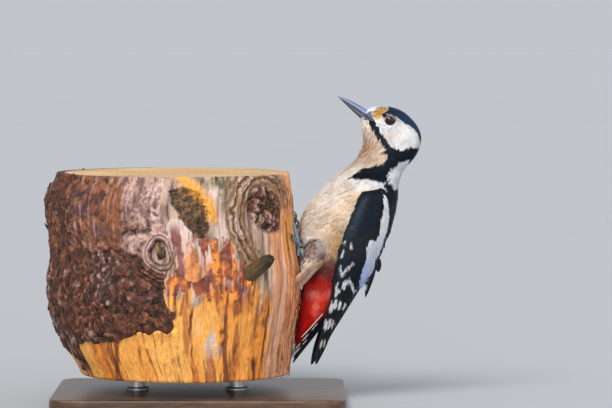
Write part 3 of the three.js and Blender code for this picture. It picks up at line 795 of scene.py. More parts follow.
# stiff feathers are thin closed blades with a shaft
# a closed feather along centre line points, with their across and normal directions
def blade(centre, across, normal, halfWidth, thick, camber, shaftAt=0.45, columns=9, tilt=0.0):
    rows = len(centre)
    u = np.linspace(-1, 1, columns)[None, :]
    crown = camber * (1 - u ** 2) - tilt * u
    rib = 0.22 * np.exp(-((u - (2 * shaftAt - 1)) / 0.1) ** 2) * np.linspace(1, 0.3, rows)[:, None]
    middle = centre[:, None] + across[:, None] * (u * halfWidth[:, None])[..., None]
    points, quads = slab(middle + normal[:, None] * (crown + rib + thick / 2)[..., None],
                         middle + normal[:, None] * (crown - rib * 0.5 - thick / 2)[..., None])
    length = np.concatenate([[0], np.cumsum(np.linalg.norm(np.diff(centre, axis=0), axis=1))])
    uv = np.stack(np.broadcast_arrays((u + 1) / 2, length[:, None]), -1).reshape(-1, 2)
    along = np.broadcast_to(np.linspace(0, 1, rows)[:, None], (rows, columns)).ravel()
    return {"points": points, "quads": quads, "uv": np.vstack([uv, uv]),
        "u": np.vstack([uv, uv])[:, 0] * 2 - 1,
            "t": np.tile(along, 2), "length": length[-1]}


# one piece from many blades; each has its own strip of the unwrap
def joinBlades(name, blades, material, slot, nodes=()):
    points, quads, tint, vane, bake, start = [], [], [], [], [], 0
    n = len(blades)
    for i, b in enumerate(blades):
        points.append(b["points"])
        quads.append(b["quads"] + start)
        tint.append(b["tint"])
        vane.append(b["uv"])
        half = len(b["points"]) // 2
        layer = np.concatenate([np.zeros(half), np.ones(half)])
        bake.append(np.stack([(i + 0.04 + 0.44 * b["uv"][:, 0] + 0.48 * layer) / n, 0.02 + 0.96 * b["t"]],
            -1))
        start += len(b["points"])
    piece = buildObject(name, np.vstack(points), np.vstack(quads), (), material, np.vstack(tint),
        np.vstack(bake), np.vstack(vane), True)
    return finishPiece(piece, slot, *nodes)


wingBars = [  # white bars across the folded wing: line on the side view, half thickness
    ([(76.6, 95.9), (77.6, 90), (79.6, 92.2)], 0.6), ([(80.4, 93.5), (82.6, 95.4), (85.9, 99)], 0.65),
    ([(73.4, 76), (74.5, 79.6), (76, 78.6)], 0.9), ([(78.3, 81), (79.6, 84.8), (81.4, 83.6)], 1.0),
    ([(82.1, 86.3), (84.4, 84), (85.8, 80), (87.6, 78)], 0.9),
    ([(69.8, 65), (71, 69)], 1.1), ([(72.9, 67), (73.6, 71.8)], 1.0), ([(75.6, 66.5), (76.6, 70.6)], 0.9),
    ([(78.6, 66), (79.8, 69)], 0.8),
    ([(65.9, 51.5), (66.8, 56.6)], 1.0), ([(68.2, 52.6), (69.2, 58)], 0.9),
    ([(70.6, 52.6), (71.6, 56.4)], 0.7),
    ([(62.3, 38.3), (63.2, 42.4)], 0.7), ([(64.6, 39), (65.4, 43)], 0.6),
    ([(77, 102.8), (79.2, 108.6)], 0.5), ([(73.4, 80.5), (74.9, 84.8)], 0.5),
    ([(79.6, 114.5), (80.2, 113)], 0.5), ([(84, 111.8), (84.4, 110)], 0.7),
]
quills = {"count": 16, "primaries": 8, "start": 0.24, "rows": 64, "thick": 0.26, "layer": 0.03, "tilt": 0.7,
          "firstAt": 2.2, "apart": 1.72, "barEdge": 0.12, "wornTip": (0.035, 0.028, 0.024)}
# primary or not
quillForms = {True: {"wide": 3.3, "shaft": 0.36, "point": 5},
    False: {"wide": 4.6, "shaft": 0.42, "point": 7}}
quillTips = [0.905, 0.965, 1.0, 0.985, 0.945, 0.90, 0.86, 0.82, 0.785, 0.75, 0.72, 0.69, 0.66, 0.63, 0.585,
    0.53]
quillEnds = [0.32, 0.42, 0.5, 0.62, 0.7, 0.76, 0.8, 0.83, 0.85, 0.86, 0.87, 0.87, 0.87, 0.86, 0.84, 0.8]


def wingFrame(side, s, v):
    surface = wing(side)
    alongS, alongV = slopes(surface, s, v)
    normal = unit(np.cross(alongV, alongS)) * side
    facing = np.sign(normal[:, 1:2] * side)
    return surface(s, v), unit(alongV), normal * facing


def makeQuills(name, side):
    random = np.random.default_rng(80 + side)
    blades = []
    for k in range(quills["count"]):
        form = quillForms[k < quills["primaries"]]
        t = np.linspace(0, 1, quills["rows"])
        s = quills["start"] + t * (quillTips[k] - quills["start"])
        ease = t * t * (3 - 2 * t)
        begin = quills["firstAt"] + quills["apart"] * k
        offset = begin * (1 - ease) + quillEnds[k] * wingWidth(quillTips[k]) * ease
        point, across, normal = wingFrame(side, s, offset / np.maximum(wingWidth(s), 0.8))
        taper = (1 - t ** form["point"]) ** 0.62 * np.clip(0.62 + 0.5 * (1 - t), 0, 1)
        half = form["wide"] * np.clip(0.4 + 2 * t, 0, 1) * taper + 0.12
        point = point + normal * (0.25 + quills["layer"] * k - 1.6 * np.clip(1 - t / 0.16, 0, 1)[:, None])
        b = blade(point, across, normal, half, quills["thick"], 0.25, form["shaft"], tilt=quills["tilt"])
        x, z = seen(b["points"])
        shift = random.normal(0, 0.7)
        bar = np.zeros(len(x), bool)
        for line, thick in wingBars:
            bar |= nearLine(line, x, z + 0.5 * shift) < thick * (1.15 + 0.3 * np.sin(b["u"] * 9 + k))
        bar &= np.abs(b["u"] - (2 * form["shaft"] - 1)) > quills["barEdge"]
        tint = plain(shades["wingBlack"], x) * random.uniform(0.8, 1.25)
        tint[bar] = shades["barWhite"] * random.uniform(0.85, 1.1)
        fade = np.clip((b["t"] - 0.8) / 0.2, 0, 1)[:, None] * 0.35
        b["tint"] = np.where(bar[:, None], tint, mix(tint, np.array(quills["wornTip"]), fade))
        blades.append(b)
    joinBlades(f"quills_{name}", blades, stiffVane, "barred_feather",
        (f"wing_{name}_secondaries", f"wing_{name}_primaries"))


scapularLoop = [(107.6, 147), (109.3, 141.7), (109.7, 135.9), (109.4, 130), (108.4, 125.1), (107.2, 120.5),
    (106, 115.8), (104.4, 111.4),
                (102.6, 107.1), (100.3, 102.4), (98.9, 96.6), (96.1, 90.6), (93.1, 85.2), (91.3, 83),
                (89.9, 85.5), (89.9, 88.6), (90.7, 93),
                (93.7, 100.2), (95.4, 105), (95.6, 110), (96.5, 116), (101.3, 115.1), (102.4, 118),
                (103.9, 123), (105.2, 129), (106.3, 134.5), (106.9, 140),
                (107, 144.6)]


# spacing, length, width, share along the wing and share across it; the lift grows along the wing
covertLooks = {
    "lesser": (2.1, 5.6, 3.6, (-0.01, 0.30), (-0.02, 1.05), lambda s: 0.9 + 0 * s),
    "greater": (2.8, 10.0, 4.6, (0.24, 0.50), (-0.02, 0.99),
    lambda s: 1.0 + 1.2 * np.clip((s - 0.26) / 0.24, 0, 1)),
    "shoulder_patch": (1.5, 6.5, 2.2, (0.05, 0.62), (0.45, 1.12), lambda s: 2.8 - 1.2 * s),
}


def wingChart(s, v):
    return np.stack([0.03 + 0.9 * s, 0.05 + 0.85 * v / 1.2], -1)


# small rounded feathers over the wing's base, then the white shoulder patch
def makeCoverts(name, side):
    surface = wing(side)
    random = np.random.default_rng(90 + side)
    for part, (spacing, length, width, sRange, vRange, liftAt) in covertLooks.items():
        s, v = scatter(surface, sRange, vRange, spacing, random)
        point = surface(s, v)
        x, z = seen(midTuft(surface, s, v, 1, np.full(len(s), length)))
        patch = inside(scapularLoop, x + 0.3 * random.standard_normal(len(x)),
            z + 0.5 * random.standard_normal(len(x)))
        white = part == "shoulder_patch"
        keep = patch if white else ~patch
        s, v, point = s[keep], v[keep], point[keep]
        if white:
            # the white shoulder patch is painted bluish-grey lower down: painted shade with a painted blue
            # reflection of the sky
            colour = mix(shades["white"], shades["scapularPaintedShade"],
                np.clip((130 - point[:, 2]) / 45, 0, 1)[:, None])
        else:
            # a painted blue sheen on the black coverts towards the shoulder
            paintedSheen = np.exp(-((point[:, 0] - 105) / 8) ** 2)[:, None] * 0.45
            colour = mix(shades["wingBlack"], shades["wingPaintedSheen"], paintedSheen)
        alongS, alongV = slopes(surface, s, v)
        out = np.sign(np.cross(alongV, alongS)[:, 1]) * side
        full = np.ones(len(s))
        points, quads, tris, tint, uv = layTufts(
            surface, s, v, wingChart, out, 1, "down" if white else "vane", length * full, width * full,
            0.6 * full.reshape(-1, 1, 1), liftAt(s), colour, random, 0.08)
        for line, thick in wingBars:
            tint[nearLine(line, *seen(points)) < thick] = shades["white" if white else "barWhite"]
        print("coverts", part, name, len(s), len(quads) * 2 + len(tris))
        tuftPiece(f"{part}_{name}", softDown if white else glossyPlumage, "black_feather", points, quads,
            tris, tint, uv)


# the wing's own thickness under its feathers
def makeWingCore(name, side):
    surface = wing(side)
    s, a = np.meshgrid(np.linspace(0.0, 0.985, 70), fullTurn(32), indexing="ij")
    v = (1 + np.cos(a) * 0.97) / 2
    alongS, alongV = slopes(surface, s, v)
    normal = unit(np.cross(alongV, alongS))
    normal *= np.sign(normal[..., 1:2] * side)
    thick = np.maximum(wingAt(s)[..., 7] - 0.5, 0.5)
    depth = np.where(np.sin(a) < 0, thick * np.abs(np.sin(a)) ** 0.6, 0) + 0.2
    rings = surface(s, v) - normal * depth[..., None]
    tint = np.broadcast_to(shades["wingBlack"], rings.shape)
    piece = buildObject(f"wing_core_{name}", *capped(rings), glossyPlumage, tint, closed=True)
    finishPiece(piece, "black_feather", f"wing_{name}_coverts")


looseRows = {"long": [(101.2, 15, 99.5, 2.6), (98.5, 16.5, 88, 2.8), (95, 17.3, 73.2, 0.7)],
             "short": [(103.4, 11.6, 101, 2.4), (104, 12.4, 96, 2.5), (104.2, 13.2, 91.6, 0.7)]}


def makeLooseFeathers():
    for name, rows in looseRows.items():
        t = np.linspace(0, 1, 40)
        row = spline(rows)(t)
        heading = unit(np.gradient(row[:, :3], axis=0))
        normal = np.tile(np.array([-0.25, 1, 0.0]), (len(t), 1))
        across = unit(np.cross(heading, normal))
        half = np.maximum(row[:, 3] * np.clip((1.02 - t) * 6, 0, 1) ** 0.5, 0.15)
        b = blade(row[:, :3], across, unit(np.cross(across, heading)), half, 0.35, 0.3)
        tint = plain(shades["wingBlack"], b["u"])
        spot = (np.abs(b["points"][:, 2] - 80) < 2.2) & (b["u"] * np.sign(across[0, 0]) < -0.35) & (name
            == "long")
        tint[spot] = shades["barWhite"]
        b["tint"] = tint
        joinBlades(f"loose_tertial_{name}", [b], stiffVane, "black_feather",
            (f"wing_right_tertial_{name}",))


for name, side in sides.items():
    makeWingCore(name, side)
    makeQuills(name, side)
    makeCoverts(name, side)
makeLooseFeathers()
print("wings made")


tail = {"root": (87, 84), "bend": (60.8, 50.6), "tip": (42.6, 27.4), "thick": 0.5, "layer": 1.05, "arch": 3,
    "start": 0.16}
rectrixLength = [1, 0.955, 0.895, 0.81, 0.7]


def tailLine(t):
    t = np.asarray(t, float)[..., None]
    root, bend, tip = (np.array([p[0], 0, p[1]]) for p in (tail["root"], tail["bend"], tail["tip"]))
    point = (1 - t) ** 2 * root + 2 * t * (1 - t) * bend + t * t * tip
    heading = unit(2 * (1 - t) * (bend - root) + 2 * t * (tip - bend))
    return point, heading


def makeTail():
    for pair in range(len(rectrixLength)):
        for name, side in sides.items():
            s = np.linspace(0, 1, 60)
            t = tail["start"] + s * (rectrixLength[pair] - tail["start"])
            point, heading = tailLine(t)
            out = (2.6 + 0.9 * pair) * (1 - s) + (4.4 + 2.5 * pair) * s
            taper = np.minimum(1, 0.55 + s) * (1 - 0.93 * s ** 5) ** 0.8
            half = np.minimum(4.2 * taper, out - 0.1) * (1 - 0.8 * np.clip((s - 0.93) / 0.07, 0, 1) ** 2)
            layer = pair * tail["layer"] + tail["arch"] * (out / 14) ** 2
            under = np.stack([heading[:, 2], 0 * s, -heading[:, 0]], -1)
            centre = point + under * layer[:, None]
            centre[:, 1] = side * out
            across = np.tile(np.array([0, side, 0.0]), (len(s), 1))
            b = blade(centre, across, -under, half, tail["thick"], 0.25, 0.42, 11)
            t, u = b["t"], b["u"]
            white = np.zeros(len(t), bool)
            if pair >= 2:
                white = (t > 0.40 + 0.05 * (4 - pair)) & (np.sin(t * b["length"] * 0.62 + 0.6 * u + pair)
                    > -0.35)
                white |= (pair == 4) & (u > 0.1) & (t > 0.3)
            if pair == 2:
                white &= (t > 0.72) & (u > -0.2)
            tint = plain(shades["black"] * 1.3, t)
            tint[white] = np.array((0.78, 0.75, 0.72))
            b["tint"] = tint
            joinBlades(f"rectrix_{name}_{pair + 1}", [b], stiffVane, "barred_feather",
                (f"tail_{name}_{pair + 1}",))


makeTail()
print("tail made")


# the root and bulge of the ridge and the underside
bill = {"upper": ((96.4, 0, 209.6), 1.15), "lower": ((91.9, 0, 202.9), 0.2), "seam": (94.1, 0, 206.2),
    "tip": (74.2, 0, 219.5),
        "halfWidth": 4.3, "back": -0.34, "lowerLength": 0.965, "parting": (0.53, 0, 0.85), "gap": 0.07,
        "hug": 0.3,
        "dark": (0.010, 0.012, 0.018), "pale": (0.27, 0.33, 0.55)}


def billMaterial():
    material, tree, shader = startMaterial(
        "bill_horn", Roughness=0.32, Specular_IOR_Level=0.55, Coat_Weight=0.15, Coat_Roughness=0.2)
    along = objectCoords(tree, (1, 1, 1), (0, math.radians(-33), 0))
    stretched = addNode(tree, "Mapping", {"Vector": along, "Scale": (60, 900, 900)}).outputs["Vector"]
    grain = noise(tree, stretched, 1.0, 4)
    dress(tree, shader, [tintOf(tree), ramp(tree, grain, (0.3, 0.7), (0.7, 1.15))], grain, 0.25, 0.0001)
    return material


billHorn = billMaterial()


# half the head's width beside a place on the side view
def headHalf(x, z):
    s, a = np.meshgrid(np.linspace(shareOf("eye"), 1, 50), np.linspace(0.02, math.pi - 0.02, 60),
        indexing="ij")
    sample = flesh(s, a).reshape(-1, 3)
    gap = (sample[:, 0] - x.ravel()[:, None]) ** 2 + (sample[:, 2] - z.ravel()[:, None]) ** 2
    return sample[gap.argmin(-1), 1].reshape(x.shape)


def makeBill():
    up, tip, seamRoot = np.array(bill["parting"]), np.array(bill["tip"]), np.array(bill["seam"])
    for name, upper in (("upper", True), ("lower", False)):
        reach, a = np.meshgrid(np.linspace(bill["back"], 1, 80), fullTurn(44), indexing="ij")
        reach = np.where(reach > 0, reach * (1.0 if upper else bill["lowerLength"]), reach)
        edgeRoot, bulge = np.array(bill[name][0]), bill[name][1]
        inner, wedge = np.clip(reach, 0, 1), np.clip(1 + 2.85 * reach, 0.03, 1)  # narrowing to the gape
        far, ahead = mix(edgeRoot, tip, inner[..., None]), mix(seamRoot, tip, inner[..., None])
        blunt = np.sqrt(np.clip((1 - inner) / 0.03, 0.02, 1))
        height = np.maximum(np.linalg.norm(far - ahead, axis=-1) + bulge * 4 * inner * (1 - inner),
            0.24) * wedge * blunt
        half = (bill["halfWidth"] * (1 - inner) ** 0.75 * 0.93 + 0.28) * blunt
        sine, cosine = np.sin(a), np.cos(a)
        rise = np.where(sine > 0, height * np.abs(sine) ** 0.8, -0.12 * np.abs(sine) * (1 - inner) * wedge)
        ridge = 0.22 * np.exp(-((sine - 1) / 0.06) ** 2) * (1 - inner) * wedge
        groove = -0.42 * np.exp(-((sine - 0.62) / 0.09) ** 2) * np.clip(1.1 - 1.2 * inner, 0,
            1) * (1 if upper else 0.4)
        nostril = -0.7 * np.exp(-((reach - 0.06) / 0.035) ** 2 - ((sine - 0.5) / 0.14) ** 2) * upper
        lengthwise = mix(seamRoot, tip, reach[..., None]) + unit(edgeRoot - seamRoot) * (rise + ridge)[...,
            None]
        points = lengthwise + up * (bill["gap"] if upper else -bill["gap"])
        points[..., 1] = cosine * half * (1 + 0.06 * np.cos(2 * a)) + np.sign(cosine) * (groove
            + nostril) * (sine > 0)
        hug = np.clip(-reach / 0.07, 0, 1)
        onHead = np.clip(cosine * 4, -1, 1) * (headHalf(points[..., 0], points[..., 2]) + bill["hug"])
        points[..., 1] = points[..., 1] * (1 - hug) + onHead * hug
        # painted light on the black horn: the pale blue-grey along the flank and the keel is a painted
        # highlight, and the dark in the groove, at the cutting edge and on the lower half's underside is
        # painted shade; darker towards the root
        if upper:  # pale on the flank and along the keel, dark in the groove and at the cutting edge
            light = 0.95 - 0.9 * np.exp(-((sine - 0.62) / 0.09) ** 2) - 0.8 * np.exp(
                -(sine / 0.13) ** 2) - 0.2 * inner
        else:
            light = 0.85 * np.exp(-((sine - 0.42) / 0.2) ** 2) * (1 - 0.55 * inner) - 0.1 * inner
        light = np.clip(light * (1 - 0.6 * hug), 0.02, 1)[..., None]
        tint = mix(np.array(bill["dark"]), np.array(bill["pale"]), light)
        piece = buildObject(f"bill_{name}_horn", *capped(points), billHorn, tint, closed=True)
        finishPiece(piece, "horn", f"bill_{name}")


makeBill()
print("bill made")
def eyeMaterial():
    material, tree, shader = startMaterial("wet_eye", Roughness=0.05, Specular_IOR_Level=0.45)
    rays = noise(tree, objectCoords(tree), 2200, 3)
    dress(tree, shader, [tintOf(tree), ramp(tree, rays, (0.3, 0.6), (0.7, 1.3))])
    return material


wetEye = eyeMaterial()


def lidMaterial():
    material, tree, shader = startMaterial("lid_skin", Roughness=0.5)
    beads = addNode(tree, "TexVoronoi", {"Vector": objectCoords(tree), "Scale": 2600}).outputs["Distance"]
    dress(tree, shader, [tintOf(tree), ramp(tree, beads, (0.0, 1.0), (0.6, 0.5))], beads, -0.6, 0.0002)
    return material


lidSkin = lidMaterial()


eyeShades = {"pupil": (0.0012, 0.0012, 0.0016), "irisInner": (0.014, 0.002, 0.005),
    "irisOuter": (0.080, 0.005, 0.014)}
# the lid's rings: how far out from the opening, and how high over the ball
lid = {"rings": [(-0.12, -0.1), (0.0, 0.10), (0.14, 0.34), (0.42, 0.46), (0.72, 0.36), (1.0, 0.10),
    (1.5, -0.35), (2.4, -1.1)],
       "around": 120, "beads": 30, "beadHeight": 0.06, "ballEdge": 4.45, "dark": (0.030, 0.026, 0.032),
       "rim": (0.50, 0.48, 0.50), "skirt": (0.10, 0.09, 0.09)}


def makeEyeball(name, side):
    polar, a = np.meshgrid(np.linspace(0.001, math.pi - 0.001, 44), fullTurn(48), indexing="ij")
    radius = eye["radius"] + 0.22 * np.exp(-(polar / 0.5) ** 2)  # cornea
    points = np.stack([eye["x"] + radius * np.sin(polar) * np.cos(a),
        side * (eye["out"] + radius * np.cos(polar)),
                       eye["z"] + radius * np.sin(polar) * np.sin(a)], -1)
    iris = (np.clip((polar - 0.40) / 0.05, 0, 1) * np.clip((0.86 - polar) / 0.06, 0, 1))[..., None]
    pupil, inner, outer = (np.array(colour) for colour in eyeShades.values())
    tint = mix(pupil, mix(inner, outer, np.clip((polar - 0.40) / 0.4, 0, 1)[..., None]), iris)
    finishPiece(buildObject(f"eyeball_{name}", *capped(points), wetEye, tint, closed=True), "eye",
        f"eye_{name}")


# a beaded rim on the ball, then a skirt of bare skin down to the coat
def makeLid(name, side):
    turn = fullTurn(lid["around"])
    rings = []
    for reach, lift in lid["rings"]:
        bead = lid["beadHeight"] * np.sin(turn * lid["beads"]) if 0.1 < reach < 0.9 else 0
        px, pz = (eye["lidWide"] + reach) * np.cos(turn), (eye["lidHigh"] + reach) * np.sin(turn)
        pz = pz - 0.25 * np.cos(turn * 2) * (pz > 0)
        flat = np.hypot(px, pz)
        ball = np.sqrt(np.maximum(eye["radius"] ** 2 - np.minimum(flat, lid["ballEdge"]) ** 2, 0))
        y = ball + lift + bead - np.maximum(flat - lid["ballEdge"], 0) * 0.4
        rings.append(np.stack([eye["x"] + px, side * (eye["out"] + y), eye["z"] + pz], -1))
    points = np.array(rings)
    tint = np.zeros(points.shape) + lid["dark"]
    tint[2:5, (turn > 0.35) & (turn < 2.8)] = lid["rim"]
    tint[4:] = lid["skirt"]
    faces = gridFaces(len(rings), lid["around"], True)
    finishPiece(buildObject(f"lid_{name}", points, faces if side > 0 else faces[:, ::-1], (), lidSkin,
        tint), "scaled_skin")


for name, side in sides.items():
    makeEyeball(name, side)
    makeLid(name, side)
print("eyes made")


def scaleMaterial():
    material, tree, shader = startMaterial("toe_scales", Roughness=0.5, Specular_IOR_Level=0.45)
    coords = objectCoords(tree)
    cells = addNode(tree, "TexVoronoi", {"Vector": coords, "Scale": 1500}).outputs["Distance"]
    base = ramp(tree, noise(tree, coords, 300, 3), (0.3, (0.17, 0.24, 0.29)), (0.7, (0.33, 0.43, 0.51)))
    dress(tree, shader, [base, ramp(tree, cells, (0.1, 1.1), (0.7, 0.55))], cells, -0.7, 0.0003)
    return material


toeScales = scaleMaterial()


def clawMaterial():
    material, tree, shader = startMaterial("claw_horn", Roughness=0.28, Coat_Weight=0.2)
    tone = noise(tree, objectCoords(tree, (1, 1, 0.3)), 900, 3)
    dress(tree, shader, [ramp(tree, tone, (0.3, (0.012, 0.012, 0.013)), (0.75, (0.07, 0.065, 0.06)))], tone,
        0.2, 0.0001)
    return material


clawHorn = clawMaterial()

logRows = [(20, -35.6, 76), (38, -39.8, 81.7), (56, -41.8, 86.8), (74, -42.5, 90.2), (92, -42.2, 90.9),
    (110, -42.6, 88.8),
           (128, -44.8, 88.4), (146, -46.2, 88.0), (164.7, -43.2, 83.5)]
logAt = spline(logRows)
logShape = {"bottom": 20, "top": 164.7}
foot = {"height": 113, "out": 16.5, "padRadius": 2.2, "toeRadius": 1.35, "gap": 0.35, "ballRadius": 2.35,
    "ballLength": 4.2,
        "joints": 3, "scuteLength": 1.25}
toes = {1: (165, 8), 2: (-16, 12.5), 3: (5, 17), 4: (62, 15.5)}  # bearing in degrees, length
clawShape = {"length": 7.4, "rise": 2, "radius": 0.95}


def logShare(z):
    return (z - logShape["bottom"]) / (logShape["top"] - logShape["bottom"])


def logPoint(angle, z, lift):
    row = logAt(logShare(z))
    centre, radius = row[..., 1], row[..., 2]
    return np.stack([centre + (radius + lift) * np.cos(angle), (radius + lift) * np.sin(angle),
        z + 0 * angle], -1)


def onLog(side, out, z, lift):
    return logPoint(side * out / logAt(logShare(z))[..., 2], z, lift)


def toePath(side, angle, d, lift):
    turn = math.radians(angle)
    return onLog(side, foot["out"] + d * math.sin(turn), foot["height"] + d * math.cos(turn), lift)


# closed tube round a path of points
def tubeAlong(path, radius, around, squash=1.0, swell=None):
    heading = unit(np.gradient(path, axis=0))
    off = unit(np.array([1, 0, 0.0]) - heading * heading[:, :1])
    beside = np.cross(heading, off)
    a = fullTurn(around)[None, :, None]
    r = radius[:, None, None] * (1 if swell is None else swell[..., None])
    return capped(path[:, None] + off[:, None] * r * np.cos(a) + beside[:, None] * r * squash * np.sin(a))


def roundEnds(t, share=0.12):
    start, end = np.clip(t / share, 0, 1), np.clip((1 - t) / share, 0, 1)
    return np.sqrt(np.clip(start * (2 - start), 0.02, 1)) * np.sqrt(np.clip(end * (2 - end), 0.02, 1))


def makeToes(name, side):
    parts = []
    lift0 = foot["padRadius"] + foot["gap"]
    for angle, length in toes.values():
        t = np.linspace(-0.08, 1, 46)
        lift = lift0 - np.clip(t, 0, 1) * (foot["padRadius"] - foot["toeRadius"] * 0.78)
        d = t * length
        joints = 1 + 0.06 * np.cos(np.clip(t, 0, 1) * 2 * math.pi * foot["joints"])
        radius = foot["toeRadius"] * (1 - 0.22 * np.clip(t, 0, 1)) * joints * roundEnds((t + 0.08) / 1.08,
            0.1)
        scutes = 1 + 0.05 * np.clip(np.cos(fullTurn(20)), 0,
            1) * np.sin(d[:, None] * 2 * math.pi / foot["scuteLength"])
        parts.append(tubeAlong(toePath(side, angle, d, lift), radius, 20, 1.0, scutes))
    t = np.linspace(0, 1, 18)
    centre = onLog(side, np.array(foot["out"]), np.array(float(foot["height"])), lift0)
    ball = centre + (t[:, None] - 0.5) * np.array([0, side * 0.2, foot["ballLength"]])
    parts.append(tubeAlong(ball, foot["ballRadius"] * roundEnds(t, 0.5), 20))
    finishPiece(buildObject(f"toes_{name}", *merge(parts), toeScales, closed=True), "scaled_skin",
        f"foot_{name}")


def makeClaws(name, side):
    for toe, (angle, length) in toes.items():
        t = np.linspace(0, 1, 30)
        height = (foot["toeRadius"] + 0.4) * (1 - t * t) + 0.7 * t * t + 4 * t * (1 - t) * clawShape["rise"]
        path = toePath(side, angle, length - 0.9 + t * (clawShape["length"] + 0.2), height)
        radius = clawShape["radius"] * (1 - 0.93 * t ** 1.3)
        piece = buildObject(f"hooked_claw_{name}_{toe}", *tubeAlong(path, radius, 16, 0.7), clawHorn,
            closed=True)
        finishPiece(piece, "claw", f"claw_{name}_{toe}")


def makeShank(name, side):
    t = np.linspace(0, 1, 40)
    row = spline(shankRows)(t)
    scutes = 1 + 0.06 * np.clip(-np.cos(fullTurn(22)), 0, 1) * np.sin(t[:, None] * 60)
    shank = tubeAlong(row[:, :3] * np.array([1, side, 1]), row[:, 3] * roundEnds(t, 0.08), 22, 1.0, scutes)
    finishPiece(buildObject(f"scaled_shank_{name}", *shank, toeScales, closed=True), "scaled_skin",
        f"shank_{name}")


for name, side in sides.items():
    makeToes(name, side)
    makeClaws(name, side)
    makeShank(name, side)
print("feet made")


# bare wood, bark, knots and folds lie on the log's unrolled surface
# (distance to the crack, number of the plate) of a cracked surface
def plates(u, v, cells, seed):
    random = np.random.default_rng(seed)
    wide, tall = cells
    jitter = random.uniform(0.08, 0.92, (wide, tall + 4, 2))
    x, y = (u % 1) * wide, np.clip(v, 0, 1) * tall + 1
    i, j = np.floor(x).astype(int), np.floor(y).astype(int)
    nearest, second, owner = np.full(x.shape, 9.0), np.full(x.shape, 9.0), np.zeros(x.shape, int)
    for di in (-1, 0, 1):
        for dj in (-1, 0, 1):
            ci, cj = (i + di) % wide, np.clip(j + dj, 0, tall + 3)
            distance = np.hypot(i + di + jitter[ci, cj, 0] - x, cj + jitter[ci, cj, 1] - y)
            closer = distance < nearest
            second = np.where(closer, nearest, np.minimum(second, distance))
            owner = np.where(closer, ci * 97 + cj, owner)
            nearest = np.where(closer, distance, nearest)
    return second - nearest, owner


def ease(value, start, end):
    t = np.clip((value - start) / (end - start), 0, 1)
    return t * t * (3 - 2 * t)


knots = [(-0.67, 140.6, 18, 4.5), (-0.67, 140.6, 8, -4), (-1.64, 109, 9, 3)]  # angle, height, spread, rise
barkArc = {"from": math.radians(100), "foot": 44, "height": 145}
roundKnot = (-1.648, 111.7)
woodShades = {
    "amber": (0.95, 0.32, 0.042), "honey": (1.0, 0.48, 0.11), "streak": (0.13, 0.032, 0.014),
    "rust": (0.38, 0.082, 0.026),
    "grey": (0.33, 0.28, 0.24), "greyPink": (0.52, 0.38, 0.31), "beige": (0.70, 0.53, 0.36),
    "lichen": (0.19, 0.19, 0.07),
    "dark": (0.055, 0.030, 0.020), "orange": (0.86, 0.38, 0.05), "lip": (0.72, 0.55, 0.50),
    "purple": (0.13, 0.052, 0.052),
    # sootAndPaintedShade is a near-black: dark flecks and ends, and painted shade in the knots' cracks and
    # hole
    "sootAndPaintedShade": (0.018, 0.012, 0.010), "olive": (0.14, 0.10, 0.04), "splinter": (0.60, 0.41, 0.27),
    "foldBrown": (0.30, 0.165, 0.08),
    "fibre": (1.0, 0.46, 0.20), "barkBrown": (0.070, 0.026, 0.017), "barkRed": (0.17, 0.052, 0.028),
    "barkGrey": (0.17, 0.105, 0.092),
    "barkPink": (0.66, 0.42, 0.36), "barkOrange": (0.40, 0.14, 0.050), "barkDark": (0.014, 0.007, 0.005),
    "maroon": (0.20, 0.030, 0.014),
    "stub": (0.13, 0.085, 0.04),
    "crumb": (0.26, 0.13, 0.045),
}
woodShades = {name: np.array(colour) for name, colour in woodShades.items()}
woodMarks = {  # loops and lines on the side view
    "triangle": [(-46.8, 151), (-36.7, 154), (-25.9, 149), (-17.3, 136), (-18, 124.4), (-21.6, 115.8),
    (-27, 119.5), (-33, 126), (-37, 132),
                 (-44.6, 141.7)],
    "lip": [(-49, 124), (-46, 130.5), (-38, 132), (-33.5, 127), (-28, 118.5), (-24, 110), (-21, 100),
    (-20, 90), (-27, 85), (-35, 86),
            (-41, 92), (-44, 104)],
    "torn": [(-40, 103), (-31, 112), (-26, 116), (-20, 114), (-14, 119), (-8, 112), (-2, 118), (4, 104),
    (13, 98), (17, 86), (8, 78), (-6, 81),
             (-18, 77), (-30, 79), (-41, 80), (-46, 70), (-50, 76)],
    "resin": [(-48, 172), (-37.4, 160.4), (-29.5, 153.2), (-18, 141), (-14.5, 132)],
    "fold": [(14, 165), (5.5, 153), (1, 138), (2.5, 124), (9, 110), (16, 99)],
    "pale": [(-15, 150), (-11, 136), (-6, 122), (-12, 112)],
}


# shades laid over each other, each with its share
def stain(colour, *coats):
    for name, share in coats:
        colour = mix(colour, woodShades[name], np.clip(share, 0, 1)[..., None])
    return colour



# distance and bearing from a knot, in millimetres on the surface
def aboutKnot(angle, z, knotAngle, knotHeight):
    dx = ((angle - knotAngle + math.pi) % (2 * math.pi) - math.pi) * 88
    return np.hypot(dx, z - knotHeight), np.arctan2(z - knotHeight, dx), dx


def barkFoot(angle):
    u = angle / (2 * math.pi)
    rise = 9 * ease(angle, math.radians(218), math.radians(258))
    lowest = barkArc["foot"] + 1.5 + rise + 3.2 * field(u, 0 * u, (22, 1), 3) + 1.8 * field(u, 0 * u,
        (90, 1), 4)
    tongue = np.exp(-((angle - math.radians(209)) / 0.05) ** 2) + 0.5 * np.exp(
        -((angle - math.radians(196)) / 0.035) ** 2)
    return np.maximum(lowest - 24 * tongue, logShape["bottom"] + 1)


# the bark's ragged edge beside the round knot
def barkEdge(z):
    v = (z - logShape["bottom"]) / barkArc["height"]
    bulge = 0.075 * np.exp(-((z - 58) / 10) ** 2) + 0.10 * np.exp(-((z - 111) / 14) ** 4)
    return math.radians(268) + bulge + 0.025 * field(0.3 + 0 * v, v, (3, 9), 5) + 0.02 * field(0.7 + 0 * v,
        v, (3, 40), 6)


